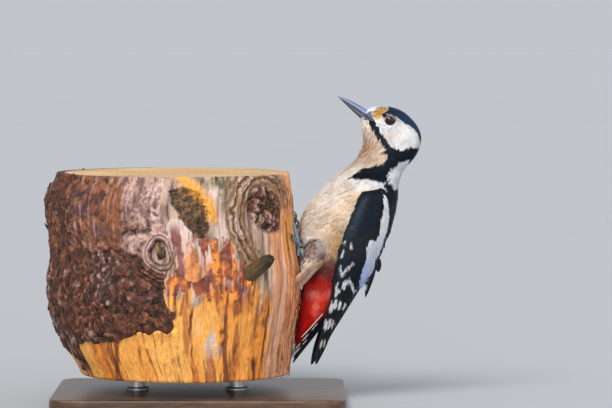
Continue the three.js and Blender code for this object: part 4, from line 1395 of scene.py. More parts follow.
# (lift, colour) of the wood under and beside the bark; x and h are the place on the side view
def woodRelief(angle, z):
    u, v = (angle / (2 * math.pi)) % 1, logShare(z)
    signed = (angle + math.pi) % (2 * math.pi) - math.pi
    x, h = seen(logPoint(angle, z, 0))
    near = ease(-np.sin(angle), -0.05, 0.15)
    rough, coarse = field(u, v, (150, 45), 19, 3), field(u, v, (46, 14), 28, 3)
    lean = u - 0.010 * v + 0.001 * coarse
    strokes = field(lean + 0.002 * rough, v, (210, 13), 30, 3)
    ragX, ragZ = x + 2 * rough + 2.5 * coarse, h + 4 * coarse + 13 * field(lean, v, (190, 3), 29, 3)
    lift = 0.7 * field(u, v, (9, 3), 11) + 0.3 * field(lean, v, (44, 4), 12)
    for knotAngle, height, spread, rise in knots:
        lift = lift + rise * np.exp(-(aboutKnot(angle, z, knotAngle, height)[0] / spread) ** 2)
    # clean wood: broad warm bands, dark upright streaks and open cracks
    bands, streaks, fine = field(lean, v, (40, 1), 16, 3), field(lean, v, (170, 2), 13, 3), field(lean, v,
        (420, 4), 14, 2)
    crack = np.clip(1 - np.abs(field(lean, v, (34, 1), 15, 3)) * 11, 0, 1) * ease(coarse, -0.2, 0.3)
    colour = stain(plain(woodShades["amber"], angle), ("honey", 0.5 + 1.5 * bands + 0.6 * fine))
    # the open cracks are darkened as painted shade
    colour = stain(
        colour,
        ("rust", 0.7 * ease(field(lean, v, (64, 2), 17, 3) + 0.15 * strokes, 0.26, 0.44)),
        ("streak", 0.85 * ease(streaks, 0.28, 0.42) + 0.9 * crack + 0.4 * ease(fine, 0.22, 0.5)),
        ("streak", near * 0.85 * ease(2.6 - np.abs(x + 85.5 + 1.5 * coarse), 0, 2)))
    ember = near * np.exp(-((x + 2) / 28) ** 2 - ((h - 76) / 12) ** 2) * ease(0.7 * strokes + coarse
        + 0.5 * bands, -0.3, 0.2)
    colour = stain(
        colour,
        ("rust", ember * 0.85),
        ("maroon", ember * ease(strokes, 0.1, 0.35) * 0.8))
    lift = lift - 0.9 * crack - 0.35 * ease(streaks, 0.24, 0.5) + 0.14 * fine
    white = near * np.exp(-((x + 17) / 9) ** 2 - ((h - 46) / 14) ** 2) * ease(strokes + coarse, 0.2, 0.5)
    colour = stain(colour, ("lip", white))
    # weathered wood above, in upright splinters
    spike = field(lean, 0 * v, (120, 1), 18, 3)
    aged = ease(h + 22 * spike + 8 * coarse - 14 * (1 - near), 78, 86)
    fibrous = ease(signed + 0.05 * coarse, -0.72, -0.60) * ease(0.75 - signed, 0, 0.3)
    aged = np.maximum(aged, fibrous)
    groove = np.clip(1 - np.abs(field(lean, v, (95, 2), 21, 2)) * 6, 0, 1)
    colour = stain(
        colour,
        ("greyPink", aged * 0.9),
        ("beige", aged * ease(field(lean, v, (80, 3), 20, 3), 0.0, 0.35) * 0.85),
        ("grey", aged * ease(field(lean, v, (70, 4), 26, 3), 0.0, 0.4) * 0.7),
        ("purple", aged * (groove * 0.85 + 0.6 * ease(strokes, 0.2, 0.45))))
    lift = lift + aged * (0.8 * spike - 1.1 * groove + 0.3 * fine)
    colour = stain(
        colour,
        ("fibre", fibrous * (0.65 + 0.4 * ease(bands, -0.2, 0.2))),
        ("rust", fibrous * (0.55 * groove + 0.4 * ease(streaks, 0.1, 0.35))),
        ("lip", fibrous * ease(fine, 0.1, 0.4) * 0.4),
        ("orange", near * 0.9 * np.exp(-((ragX - 38) / 2.8) ** 2) * ease(h, 100, 112)
        * ease(152 - h, 0, 10)))
    lichen = near * np.exp(-((ragX + 13) / 10) ** 2) * ease(ragZ, 134, 146)
    colour = stain(
        colour,
        ("lichen", lichen * (0.7 + 0.6 * rough + 0.5 * strokes)),
        ("sootAndPaintedShade", lichen * ease(strokes + 0.5 * rough, 0.05, 0.3) * 0.9),
        ("beige", lichen * ease(-strokes, 0.15, 0.35) * 0.7))
    pale = near * np.exp(-(nearLine(woodMarks["pale"], ragX, h) / 5) ** 2)
    colour = stain(colour, ("lip", pale * (0.8 + strokes)))
    lift = lift + pale * 0.8 * spike
    # torn red-brown wood, in short upright strokes
    torn = near * inside(woodMarks["torn"], ragX, ragZ)
    colour = stain(
        colour,
        ("rust", torn * 0.9),
        ("maroon", torn * ease(coarse + 0.8 * rough + 0.3 * strokes, -0.2, 0.2) * 0.85),
        ("amber", torn * ease(-spike - 0.4 * coarse + 0.6 * strokes, 0.1, 0.35) * 0.85),
        ("purple", torn * ease(rough - strokes, 0.15, 0.4) * 0.7),
        ("lip", torn * ease(strokes, 0.16, 0.34) * ease(h + 20 * coarse, 78, 104) * 0.8))
    lift = lift + torn * (0.9 * coarse + 0.7 * rough - 0.6)
    # pale folded lip beside the round knot
    lip = near * inside(woodMarks["lip"], x + 0.8 * coarse, h + 1.2 * rough)
    wrinkle = field(lean + 0.003 * rough, v, (74, 2), 25, 2)
    colour = stain(
        colour,
        ("lip", lip * (1 - 0.6 * ease(116 - h, 0, 22))),
        ("amber", lip * ease(0.3 * strokes - wrinkle, 0.0, 0.25) * ease(126 - h, 0, 12) * 0.85),
        ("maroon", lip * ease(wrinkle + 0.4 * strokes, 0.02, 0.25) * ease(130 - h, 0, 9) * 0.85),
        ("purple", lip * ease(strokes - wrinkle, 0.2, 0.4) * 0.6))
    lift = lift + lip * (1.6 - 1.2 * wrinkle)
    # dark crumbling hollow with a golden resin run beside it
    hollow = near * inside(woodMarks["triangle"], ragX, h + 1.5 * coarse)
    colour = stain(
        colour,
        ("dark", hollow * 0.95),
        ("crumb", hollow * ease(rough, 0.02, 0.35) * 0.85))
    lift = lift + hollow * (1.5 * rough - 1.6)
    resin = near * np.exp(-(nearLine(woodMarks["resin"], ragX, h) / 3.6) ** 2)
    colour = stain(
        colour,
        ("orange", resin * 1.2),
        ("honey", resin * ease(strokes, -0.1, 0.2)))
    lift = lift + resin * 0.9
    # the big knot: rings above, folds beside it that run down, and a cracked core
    bearing, dx = aboutKnot(angle, z, *knots[0][:2])[1:]
    distance = np.hypot(dx * 0.78, z - knots[0][1])
    warped = distance * (1 + 0.10 * np.sin(bearing * 2 + 0.6)) + 1.6 * coarse
    above = np.exp(-((warped - 24) / 7) ** 2) * ease(np.sin(bearing + 0.25), 0, 0.5) * near
    fromFold = nearLine(woodMarks["fold"], x + 1.2 * coarse, h)
    fold = near * np.exp(-(fromFold / 6.5) ** 2)
    waves = np.where(above > fold, np.sin(warped * 1.45 + 2 * rough),
        np.sin(fromFold * 1.7 + 0.8 + 2 * rough))
    swirl = np.maximum(above, fold)
    # painted light on the folds: pale on the raised wave tops as painted highlight, dark in the troughs as
    # painted shade
    colour = stain(
        colour,
        ("foldBrown", swirl * 1.6),
        ("lip", swirl * ease(waves + 0.9 * strokes, 0.6, 1.0) * 0.8),
        ("barkDark", swirl * ease(-waves + 0.5 * strokes, 0.2, 0.9) * 0.9))
    lift = lift + swirl * (1.2 + 1.0 * waves)
    core = near * ease(16.5 - warped, 0, 2.5)
    split, piece = plates(u + 0.004 * coarse, v, (64, 17), 24)
    # the splits between the core's plates and its low places are painted near black as painted shade
    colour = stain(
        colour,
        ("barkRed", core),
        ("barkPink", core * ease(rough + 0.4 * coarse, 0.08, 0.35) * 0.7),
        ("sootAndPaintedShade", core * (0.95 * ease(0.2 - split, 0, 0.16) + 0.6 * ease(-rough, 0.1, 0.35))))
    lift = lift + core * (1.6 * ease(split, 0, 0.25) + 1.2 * rough + 0.5 * (piece % 7) / 3
        - 2.4) - near * np.exp(-((warped - 16.5) / 1.3) ** 2)
    cut = ease(z, logShape["top"] - 1.5, logShape["top"]) + ease(logShape["bottom"] + 1.2 - z, 0, 1.2)
    return lift * (1 - 0.5 * cut) - 0.9 * cut, colour


logFinishes = {
    "weathered_wood": {"grain": (1, 1, 0.012), "fibre": (1, 1, 0.03), "twist": 0,
    "shades": ((0.30, 0.68), (0.5, 0.97), (0.70, 1.15))},
    "rough_bark": {"grain": (1, 1, 0.5), "fibre": (1, 1, 0.6), "twist": 0.4,
    "shades": ((0.30, 0.45), (0.48, 0.92), (0.70, 1.3))},
}


def logMaterial(name):
    look = logFinishes[name]
    material, tree, shader = startMaterial(name, Roughness=0.62, Specular_IOR_Level=0.35)
    grain = noise(tree, objectCoords(tree, look["grain"]), 520, 6, 0.65, look["twist"])
    fibre = noise(tree, objectCoords(tree, look["fibre"]), 1500, 3, 0.6)
    shade, thin = ramp(tree, grain, *look["shades"]), ramp(tree, fibre, (0.35, 0.78), (0.62, 1.1))
    dress(tree, shader, [tintOf(tree), shade, thin], fibre, 0.5, 0.0004, bump(tree, grain, 0.8, 0.0012))
    return material


# sawn end: rings, a mottle and the marks of the saw
def cutMaterial():
    material, tree, shader = startMaterial("sawn_end", Roughness=0.75, Specular_IOR_Level=0.25)
    place = addNode(tree, "TexCoord").outputs["Object"]
    centred = addNode(tree, "Mapping", {"Vector": place, "Location": (0.046, 0.004, 0)}).outputs["Vector"]
    rings = addNode(tree, "TexWave", {"Vector": centred, "Scale": 62.0, "Distortion": 4.5, "Detail": 3.0,
        "Detail Scale": 3.0},
                    wave_type="RINGS", rings_direction="Z").outputs["Fac"]
    wood = ramp(tree, rings, (0.0, (0.60, 0.39, 0.19)), (0.7, (0.72, 0.50, 0.27)),
        (1.0, (0.44, 0.25, 0.10)))
    spots = ramp(tree, noise(tree, centred, 25, 3), (0.3, 0.75), (0.7, 1.08))
    saw = noise(tree, objectCoords(tree, (60, 900, 1)), 1.0, 3)
    dress(tree, shader, [wood, spots, ramp(tree, saw, (0.3, 0.82), (0.7, 1.05))], saw, 0.4, 0.0004)
    return material


weatheredWood, roughBark, sawnEnd = logMaterial("weathered_wood"), logMaterial("rough_bark"), cutMaterial()
logMesh = {"around": 500, "rows": 180, "nearShare": 0.62, "discRings": 26, "sawnTint": (0.6, 0.4, 0.2)}
barkMesh = {"around": 340, "rows": 160}


# angles round the log, closer together on the open side
def sideAngles():
    near = np.linspace(-math.pi, 0, int(logMesh["around"] * logMesh["nearShare"]), endpoint=False)
    return np.concatenate([near, np.linspace(0, math.pi, logMesh["around"] - len(near), endpoint=False)])


def makeWood():
    around, rows, rings = logMesh["around"], logMesh["rows"], logMesh["discRings"]
    angle, z = np.meshgrid(sideAngles(), np.linspace(logShape["bottom"], logShape["top"], rows),
        indexing="xy")
    lift, colour = woodRelief(angle, z)
    full = angle % (2 * math.pi)
    covered = ease(full, barkArc["from"], barkArc["from"] + 0.08) * ease(barkEdge(z) - full, -0.01,
        0.07) * ease(z - barkFoot(full), -1, 5)
    exposed = ease(full, barkArc["from"], barkArc["from"] + 0.2) * ease(barkEdge(z) - full, -0.15,
        0.1) * ease(60 - z, 0, 12)
    under = np.maximum(covered * 4.4, exposed * 1.6)
    points = logPoint(angle, z, lift - under)
    flat = [points.reshape(-1, 3)]
    start = rows * around
    quads, ends = [gridFaces(rows, around, True)], []
    for row, up in ((0, -1), (rows - 1, 1)):
        rim = points[row]
        middle = rim.mean(0)
        share = np.linspace(1, 0.02, rings + 1)[1:, None, None]
        disc = middle + (rim - middle)[None] * share
        flat.append(disc.reshape(-1, 3))
        index = np.vstack([row * around + np.arange(around),
            start + np.arange(rings * around).reshape(rings, around)])
        a, b = index[:-1], index[1:]
        faces = np.stack([a, np.roll(a, -1, 1), np.roll(b, -1, 1), b], -1).reshape(-1, 4)
        quads.append(faces if up > 0 else faces[:, ::-1])
        flat.append(middle[None])
        hub = start + rings * around
        last = index[-1]
        fan = np.stack([last, np.roll(last, -1), np.full(around, hub)], -1)
        ends.append(fan if up > 0 else fan[:, ::-1])
        start += rings * around + 1
    colour = np.vstack([colour.reshape(-1, 3), np.tile(logMesh["sawnTint"], (start - rows * around, 1))])
    piece = buildObject("log_wood", np.vstack(flat), np.vstack(quads), np.vstack(ends), weatheredWood,
        colour)
    piece.data.materials.append(sawnEnd)
    index = np.zeros(len(piece.data.polygons), np.int32)
    index[(rows - 1) * around:] = 1
    piece.data.polygons.foreach_set("material_index", index)
    finishPiece(piece, "bare_wood", "perch_wood")


def barkRelief(angle, z):
    u, v = (angle / (2 * math.pi)) % 1, (z - logShape["bottom"]) / barkArc["height"]
    x, h = seen(logPoint(angle, z, 0))
    coarse = field(u, v, (40, 12), 38, 3)
    wrapU, wrapV = u + 0.013 * field(u, v, (16, 5), 36, 3), v + 0.06 * field(u, v, (14, 5), 37, 3)
    rough, lumps = field(wrapU, wrapV, (190, 46), 34, 3), np.abs(field(wrapU, wrapV, (64, 12), 31, 3))
    creases = np.abs(field(wrapU + 0.002 * rough, wrapV, (150, 30), 33, 3))
    gap, owner = plates(wrapU, wrapV, (80, 19), 32)
    tone = np.random.default_rng(35).uniform(0, 1, 40000)
    smooth = ease(h + 34 * coarse + 12 * rough, 104, 128) * ease(x + 9 * coarse, -120, -108)
    scaly = 1 - 0.7 * smooth
    large = field(wrapU, wrapV, (26, 6), 35, 2)
    lift = (2.2 - 1.7 * smooth) * lumps ** 0.8 + 1.6 * large + 0.9 * coarse - 0.6
    lift = lift + scaly * (0.9 * creases ** 0.6 + 0.8 * ease(gap, 0, 0.3) * tone[owner] + 0.6 * rough)
    grain = field(u - 0.012 * v + 0.001 * coarse, v, (300, 4), 42, 3)
    colour = stain(plain(woodShades["barkBrown"], angle), ("barkRed", 0.3 + 1.2 * rough
        + 0.5 * tone[owner]))
    # the grey and the pink laid on the raised lumps are painted highlights
    colour = stain(
        colour,
        ("barkOrange", ease(coarse + rough, 0.15, 0.5) * 0.6),
        ("barkGrey", ease(large + 0.8 * lumps + 0.7 * rough, 0.25, 0.6) * 0.5),
        ("barkPink", ease(large + lumps + rough, 0.6, 1.0) * 0.6))
    east = ease(x + 4 * coarse, -84, -74)
    colour = stain(
        colour,
        ("barkOrange", smooth * (1 - 0.75 * east) * ease(field(wrapU, wrapV, (44, 8), 39, 3) + 0.5 * rough,
        -0.1, 0.3) * 0.55),
        ("barkPink", smooth * east * (0.8 + 0.6 * rough)),
        ("purple", smooth * ease(field(wrapU, wrapV, (70, 12), 40, 3) + 0.4 * rough, 0.1, 0.36) * 0.75),
        ("barkPink", smooth * ease(grain + 0.4 * rough, 0.28, 0.55) * (0.35 + 0.35 * east)),
        ("purple", smooth * ease(-grain, 0.22, 0.45) * 0.6))
    strip = smooth * ease(2.5 + rough * 4 - np.abs(x + 52.5 - 0.12 * (h - 140)) / 2, 0, 1.5) * ease(h, 126,
        134)
    colour = stain(colour, ("lip", strip * (0.75 + 0.9 * rough)))
    # painted shade: the gaps between the plates, the creases, the valleys between the lumps and the low
    # places are darkened
    fissure = scaly * (0.9 * ease(0.13 - gap, 0, 0.12) + 0.6 * ease(0.08 - creases, 0, 0.07)
        + 0.8 * ease(0.05 - lumps, 0, 0.05))
    colour = stain(colour, ("barkDark", fissure + scaly * 0.6 * ease(-rough, 0.2, 0.5)))
    bearing, dx = aboutKnot(angle, z, *roundKnot)[1:]
    distance = np.hypot(dx * 1.3, z - roundKnot[1]) * (1 + 0.1 * np.sin(bearing * 3 + 1)) + 0.8 * coarse
    ring, under = np.exp(-((distance - 12) / 2.8) ** 2), np.exp(-((distance - 20) / 6) ** 2) * ease(
        -np.sin(bearing), 0.1, 0.6)
    ripple = np.sin(distance * 1.9 + 2 * coarse)
    lift = lift * (1 - ring) - 7.5 * ease(9.6 - distance, 0,
        3.0) + ring * (2.2 + 0.5 * ripple) + under * 1.2 * ripple
    # painted highlight in pink on the raised collar, painted shade in the collar's grooves, and the knot's
    # hole painted near black as painted shade
    colour = stain(
        colour,
        ("barkPink", ring * (0.75 + 0.6 * rough)),
        ("barkBrown", (ring + under) * ease(-ripple, 0.0, 0.7) * 0.9),
        ("sootAndPaintedShade", ease(9.2 - distance, 0, 2.2)))
    return lift, colour


def makeBark():
    p, q = np.meshgrid(np.linspace(0, 1, barkMesh["around"]), np.linspace(0, 1, barkMesh["rows"]),
        indexing="xy")
    low = barkArc["from"] + 0.06 * field(0.1 + 0 * q, q, (3, 9), 41) + 0.03
    angle = low + p * (barkEdge(44 + q * 120) - low)
    lowest = barkFoot(angle)
    z = lowest + q * (logShape["top"] - lowest)
    lift, colour = barkRelief(angle, z)
    border = np.minimum(np.minimum(ease(p, 0, 0.012), ease(1 - p, 0, 0.02)), ease(q, 0, 0.035))
    lift = lift * (0.4 + 0.6 * border) - 1.2 * (1 - border) + 0.3
    outer = logPoint(angle, z, np.maximum(lift, -3.9 * ease(border, 0, 1) - 0.9))
    faces = slab(outer, logPoint(angle, z, np.full(z.shape, -4.9)))
    # the bark's underside, seen along its edge, is a darker copy of its colour: painted shade
    piece = buildObject("log_bark", *faces, (), roughBark, np.concatenate([colour, colour * 0.6]),
        closed=True)
    finishPiece(piece, "bark", "perch_bark")


# the broken branch inside the round knot
def makeKnotCore():
    steps = around = 40
    t = np.linspace(0, 1, steps)
    root = logPoint(np.array(roundKnot[0]), np.array(108.5), -7)
    tip = logPoint(np.array(roundKnot[0] + 0.01), np.array(113.5), 0.3)
    a = np.linspace(0, 1, around, endpoint=False)[None, :] + 0 * t[:, None]
    shred = field(a, 0 * a + t[:, None], (9, 2), 43, 3)
    points, quads, tris = tubeAlong(root + t[:, None] * (tip - root), 4.4 - 1.4 * t, around, 1.25,
        1 + 0.28 * shred)
    torn = 7.0 * ease(shred + 0.25 * np.cos(a * 2 * math.pi), 0.05, 0.5) * t[:, None] ** 3
    points[:steps * around, 2] += torn.ravel()
    colour = stain(plain(woodShades["olive"], shred), ("dark", ease(-shred, -0.1, 0.3)),
        ("honey", ease(shred, 0.25, 0.6) * 0.4))
    finishPiece(buildObject("knot_core", points, quads, tris, weatheredWood, colour, closed=True),
        "bare_wood")


pressed = {"reach": 0.006, "clear": 0.0007}


# tufts that would run into the trunk lie against it
def pressCoat():
    wood = BVHTree.FromObject(bpy.data.objects["log_wood"], bpy.context.evaluated_depsgraph_get())
    for name in ("coat_vent_pale", "coat_belly_pale"):
        for vertex in bpy.data.objects[name].data.vertices:
            near, normal = wood.find_nearest(vertex.co, pressed["reach"])[:2]
            if near is not None and (vertex.co - near).dot(normal) < pressed["clear"]:
                vertex.co = near + normal * pressed["clear"]


makeWood()
makeBark()
makeKnotCore()
pressCoat()
print("log made")


# a small ragged plate, y up the log, z away from it
def chip(name, size, rows, columns, thick, curl, seed):
    random = np.random.default_rng(seed)
    u, v = np.meshgrid(np.linspace(-1, 1, columns), np.linspace(-1, 1, rows), indexing="xy")
    ragged = 1 - 0.34 * np.maximum(np.abs(u), np.abs(v)) * random.uniform(0, 1, u.shape)
    x = u * size[0] / 2 * ragged * (1 - 0.3 * v * v)
    y = v * size[1] / 2 * ragged
    z = curl * (u * u + v * v) / 2 + random.normal(0, 0.25, u.shape) * thick
    top, low = np.stack([x, y, z + thick / 2], -1), np.stack([x * 0.92, y * 0.92, z - thick / 2], -1)
    return buildObject(name, *slab(top, low), closed=True)


# points on the faces, chips standing on them upright, each with its own tone
def scatterTree():
    tree = bpy.data.node_groups.new("scatter_chips", "GeometryNodeTree")
    face = tree.interface
    face.new_socket("Geometry", in_out="INPUT", socket_type="NodeSocketGeometry")
    for label, kind in (("Chips", "NodeSocketCollection"), ("Spacing", "NodeSocketFloat"),
            ("Smallest", "NodeSocketFloat"),
                        ("Largest", "NodeSocketFloat"), ("Turn", "NodeSocketFloat"),
                        ("Tilt", "NodeSocketFloat"), ("Seed", "NodeSocketInt"),
                        ("First Shade", "NodeSocketColor"), ("Second Shade", "NodeSocketColor"),
                        ("Finish", "NodeSocketMaterial")):
        face.new_socket(label, in_out="INPUT", socket_type=kind)
    face.new_socket("Geometry", in_out="OUTPUT", socket_type="NodeSocketGeometry")
    nodes, links = tree.nodes, tree.links
    given, result = nodes.new("NodeGroupInput"), nodes.new("NodeGroupOutput")
    points = nodes.new("GeometryNodeDistributePointsOnFaces")
    points.distribute_method = "POISSON"
    points.inputs["Density Max"].default_value = 400000
    links.new(given.outputs["Geometry"], points.inputs["Mesh"])
    links.new(given.outputs["Spacing"], points.inputs["Distance Min"])
    links.new(given.outputs["Seed"], points.inputs["Seed"])
    stand, upright, turned = (nodes.new(kind) for kind in ("FunctionNodeAlignRotationToVector",
        "FunctionNodeAlignRotationToVector", "FunctionNodeRotateRotation"))
    stand.axis, upright.axis, upright.pivot_axis, turned.rotation_space = "Z", "Y", "Z", "LOCAL"
    links.new(points.outputs["Normal"], stand.inputs["Vector"])
    links.new(stand.outputs[0], upright.inputs["Rotation"])
    upright.inputs["Vector"].default_value = (0, 0, 1)
    spin = []
    for label, offset in (("Tilt", 1), ("Tilt", 2), ("Turn", 3)):
        value = nodes.new("FunctionNodeRandomValue")
        value.data_type = "FLOAT"
        negate = nodes.new("ShaderNodeMath")
        negate.operation, negate.inputs[1].default_value = "MULTIPLY", -1
        links.new(given.outputs[label], negate.inputs[0])
        links.new(negate.outputs[0], value.inputs[2])
        links.new(given.outputs[label], value.inputs[3])
        value.inputs["Seed"].default_value = offset
        spin.append(value.outputs[1])
    angles = nodes.new("ShaderNodeCombineXYZ")
    for socket, value in zip(angles.inputs, spin):
        links.new(value, socket)
    links.new(upright.outputs[0], turned.inputs["Rotation"])
    links.new(angles.outputs[0], turned.inputs["Rotate By"])
    size = nodes.new("FunctionNodeRandomValue")
    size.data_type = "FLOAT"
    links.new(given.outputs["Smallest"], size.inputs[2])
    links.new(given.outputs["Largest"], size.inputs[3])
    size.inputs["Seed"].default_value = 4
    source = nodes.new("GeometryNodeCollectionInfo")
    source.inputs["Separate Children"].default_value = True
    source.inputs["Reset Children"].default_value = True
    links.new(given.outputs["Chips"], source.inputs["Collection"])
    put = nodes.new("GeometryNodeInstanceOnPoints")
    put.inputs["Pick Instance"].default_value = True
    links.new(points.outputs["Points"], put.inputs["Points"])
    links.new(source.outputs[0], put.inputs["Instance"])
    links.new(turned.outputs[0], put.inputs["Rotation"])
    links.new(size.outputs[1], put.inputs["Scale"])
    tone = nodes.new("FunctionNodeRandomValue")
    tone.data_type = "FLOAT"
    tone.inputs["Seed"].default_value = 5
    mixed = nodes.new("ShaderNodeMix")
    mixed.data_type = "RGBA"
    links.new(tone.outputs[1], mixed.inputs[0])
    links.new(given.outputs["First Shade"], mixed.inputs[6])
    links.new(given.outputs["Second Shade"], mixed.inputs[7])
    store = nodes.new("GeometryNodeStoreNamedAttribute")
    store.data_type, store.domain = "FLOAT_COLOR", "INSTANCE"
    store.inputs["Name"].default_value = "tint"
    links.new(put.outputs["Instances"], store.inputs["Geometry"])
    links.new(mixed.outputs[2], store.inputs["Value"])
    real, coat = nodes.new("GeometryNodeRealizeInstances"), nodes.new("GeometryNodeSetMaterial")
    links.new(store.outputs[0], real.inputs[0])
    links.new(real.outputs[0], coat.inputs["Geometry"])
    links.new(given.outputs["Finish"], coat.inputs["Material"])
    links.new(coat.outputs[0], result.inputs[0])
    return tree


chipTree = scatterTree()


# runs the scatter on a bed of faces and keeps only the chips
def scatterPiece(name, bed, chips, slot, **values):
    folder = bpy.data.collections.new(name + "_chips")
    for item in chips:
        bpy.context.collection.objects.unlink(item)
        folder.objects.link(item)
    modifier = bed.modifiers.new("scatter", "NODES")
    modifier.node_group = chipTree
    values["Chips"] = folder
    for item in chipTree.interface.items_tree:
        label = item.name.replace(" ", "_")
        if item.in_out == "INPUT" and label in values:
            modifier[item.identifier] = values[label]
    bed.update_tag()
    mesh = bpy.data.meshes.new_from_object(bed.evaluated_get(bpy.context.evaluated_depsgraph_get()))
    bed.modifiers.clear()
    bpy.data.objects.remove(bed)
    for item in chips:
        bpy.data.objects.remove(item)
    bpy.data.collections.remove(folder)
    piece = bpy.data.objects.new(name, mesh)
    bpy.context.collection.objects.link(piece)
    print(name, len(mesh.polygons), "faces")
    return finishPiece(piece, slot)


# a plain patch of the log's surface for chips to stand on
def logBed(name, angles, heights, keep, lift):
    angle, z = np.meshgrid(np.linspace(*angles), np.linspace(*heights), indexing="xy")
    points = logPoint(angle, z, lift(angle, z))
    faces = gridFaces(*angle.shape)
    wanted = keep(angle, z).ravel()[faces].all(-1)
    return buildObject(name, points, faces[wanted])


def makeScatter():
    degrees = math.radians

    def scalyBark(angle, z):
        far = aboutKnot(angle, z, *roundKnot)[0] > 17
        smoothPart = (angle > degrees(216)) & (z > 112)
        return (z > barkFoot(angle) + 3) & (angle < barkEdge(z) - 0.05) & far & ~smoothPart

    bed = logBed("bark_bed", (degrees(102), degrees(276), 240), (24, 162, 130), scalyBark, lambda a,
        z: barkRelief(a, z)[0] + 0.35)
    sizes = ((4.6, 9), (3.6, 11), (5.6, 7), (2.8, 8), (4, 5))
    chips = [chip(f"scale_{i}", size, 5, 3, 0.4, 0.5 - 0.2 * i, 50 + i) for i, size in enumerate(sizes)]
    scatterPiece("bark_scales", bed, chips, "bark", Spacing=0.0085, Smallest=0.35, Largest=1.1, Turn=0.7,
        Tilt=0.13, Seed=3,
                 First_Shade=(*woodShades["barkDark"], 1), Second_Shade=(*woodShades["barkRed"], 1),
                 Finish=roughBark)
    def clearOfBird(angle, z):  # none under the vent or the toes
        side = (np.abs(angle) + math.pi) % (2 * math.pi) - math.pi
        return ~((np.abs(side) < 0.13) & (z < 100) | (np.abs(np.abs(side) - 0.22) < 0.14) & (z > 94)
            & (z < 138))

    bed = logBed("fibre_bed", (degrees(-27), degrees(28), 120), (24, 158, 120), clearOfBird, lambda a,
        z: woodRelief(a, z)[0] - 0.1)
    chips = [chip(f"fibre_{i}", size, 7, 2, 0.35, 0.5, 60 + i) for i,
        size in enumerate(((0.7, 16), (0.5, 11), (1.0, 20)))]
    scatterPiece("loose_fibres", bed, chips, "bare_wood", Spacing=0.0045, Smallest=0.5, Largest=1.3,
        Turn=0.1, Tilt=0.05, Seed=4,
                 First_Shade=(*woodShades["fibre"], 1), Second_Shade=(*woodShades["rust"], 1),
                 Finish=weatheredWood)

    def crumbly(angle, z):
        dx = aboutKnot(angle, z, *knots[0][:2])[2]
        return (np.hypot(dx * 0.78, z - knots[0][1]) < 14) | inside(woodMarks["triangle"],
            *seen(logPoint(angle, z, 0)))

    bed = logBed("crumb_bed", (-1.75, -0.4, 170), (112, 156, 70), crumbly, lambda a,
        z: woodRelief(a, z)[0] + 0.05)
    chips = [chip(f"crumb_{i}", size, 3, 3, 0.7, 0.4, 70 + i) for i,
        size in enumerate(((2.2, 3.4), (1.4, 2.6), (2.8, 1.8)))]
    scatterPiece("bark_crumbs", bed, chips, "bark", Spacing=0.0021, Smallest=0.35, Largest=0.9, Turn=1.5,
        Tilt=0.4, Seed=5,
                 First_Shade=(*woodShades["dark"], 1), Second_Shade=(*woodShades["crumb"], 1),
                 Finish=roughBark)


makeScatter()
stubRows = [(8.4, 64, 93, 6.4), (15.5, 73, 98.6, 5.6), (23.5, 82, 105.3, 4.6), (28, 87, 109.2, 2.9)]
splinterRows = [(41, 17, 81, 4.4), (49, 28.5, 90, 4.2), (56, 34.5, 96.6, 3.1), (64.5, 36.5, 102.7, 1)]


def makeBranches():
    for name, rows, squash, node, seed in (("stub", stubRows, 1.0, "perch_stub", 81),
            ("splinter", splinterRows, 0.7, "perch_splinter", 82)):
        t = np.linspace(0, 1, 90)
        row = spline(rows)(t)
        path = row[:, :3] * np.array([1, -1, 1])
        a = np.linspace(0, 1, 64, endpoint=False)[None, :]
        groove = field(a + 0 * t[:, None], t[:, None] + 0 * a, (18, 3), seed, 3)
        fine = field(a + 0 * t[:, None], t[:, None] + 0 * a, (50, 5), seed + 5, 2)
        end = np.clip((1 - t) / 0.06, 0, 1) ** 0.5
        points, quads, tris = tubeAlong(path, row[:, 3] * np.maximum(end, 0.12), 64, squash,
            1 + 0.14 * groove + 0.07 * fine)
        points[:len(t) * 64] += (np.array([0.5, -0.4, 0.6])
            * (3.0 * groove[..., None] * (t[:, None, None] > 0.9))).reshape(-1, 3)
        colour = np.tile(woodShades[name], (len(t), 64, 1))
        colour = stain(
            colour,
            ("olive" if name == "stub" else "rust", ease(groove, 0.0, 0.45) * 0.6),
            ("dark", ease(-fine, 0.1, 0.5) * 0.8))
        root = ease(path[:, 0], *((20, 26) if name == "stub" else (54, 47)))[:, None] + 0 * a
        if name == "splinter":  # bleached where it tore, dark beneath
            # the dark along the splinter's underside is painted shade
            colour = stain(
                colour,
                ("lip", ease(path[:, 0], 60, 53)[:, None] * (0.45 + 0.4 * ease(fine, -0.2, 0.3))),
                ("dark", ease(-np.sin(2 * math.pi * a + 0.6), 0.55, 0.95) * 0.5))
        colour = stain(colour, ("sootAndPaintedShade" if name == "stub" else "fibre",
            root * (0.7 if name == "stub" else 0.35)))
        piece = buildObject(f"broken_{name}", points, quads, tris, weatheredWood, colour, closed=True)
        finishPiece(piece, "bare_wood", node)


makeBranches()
print("perch finished")


stand = {"length": 209, "width": 156, "thick": 8, "corner": 14, "bevel": 1.5, "centreX": -24.5}
rod = {"radius": 6, "x": (-70, 2), "inBase": 4, "inLog": 12}


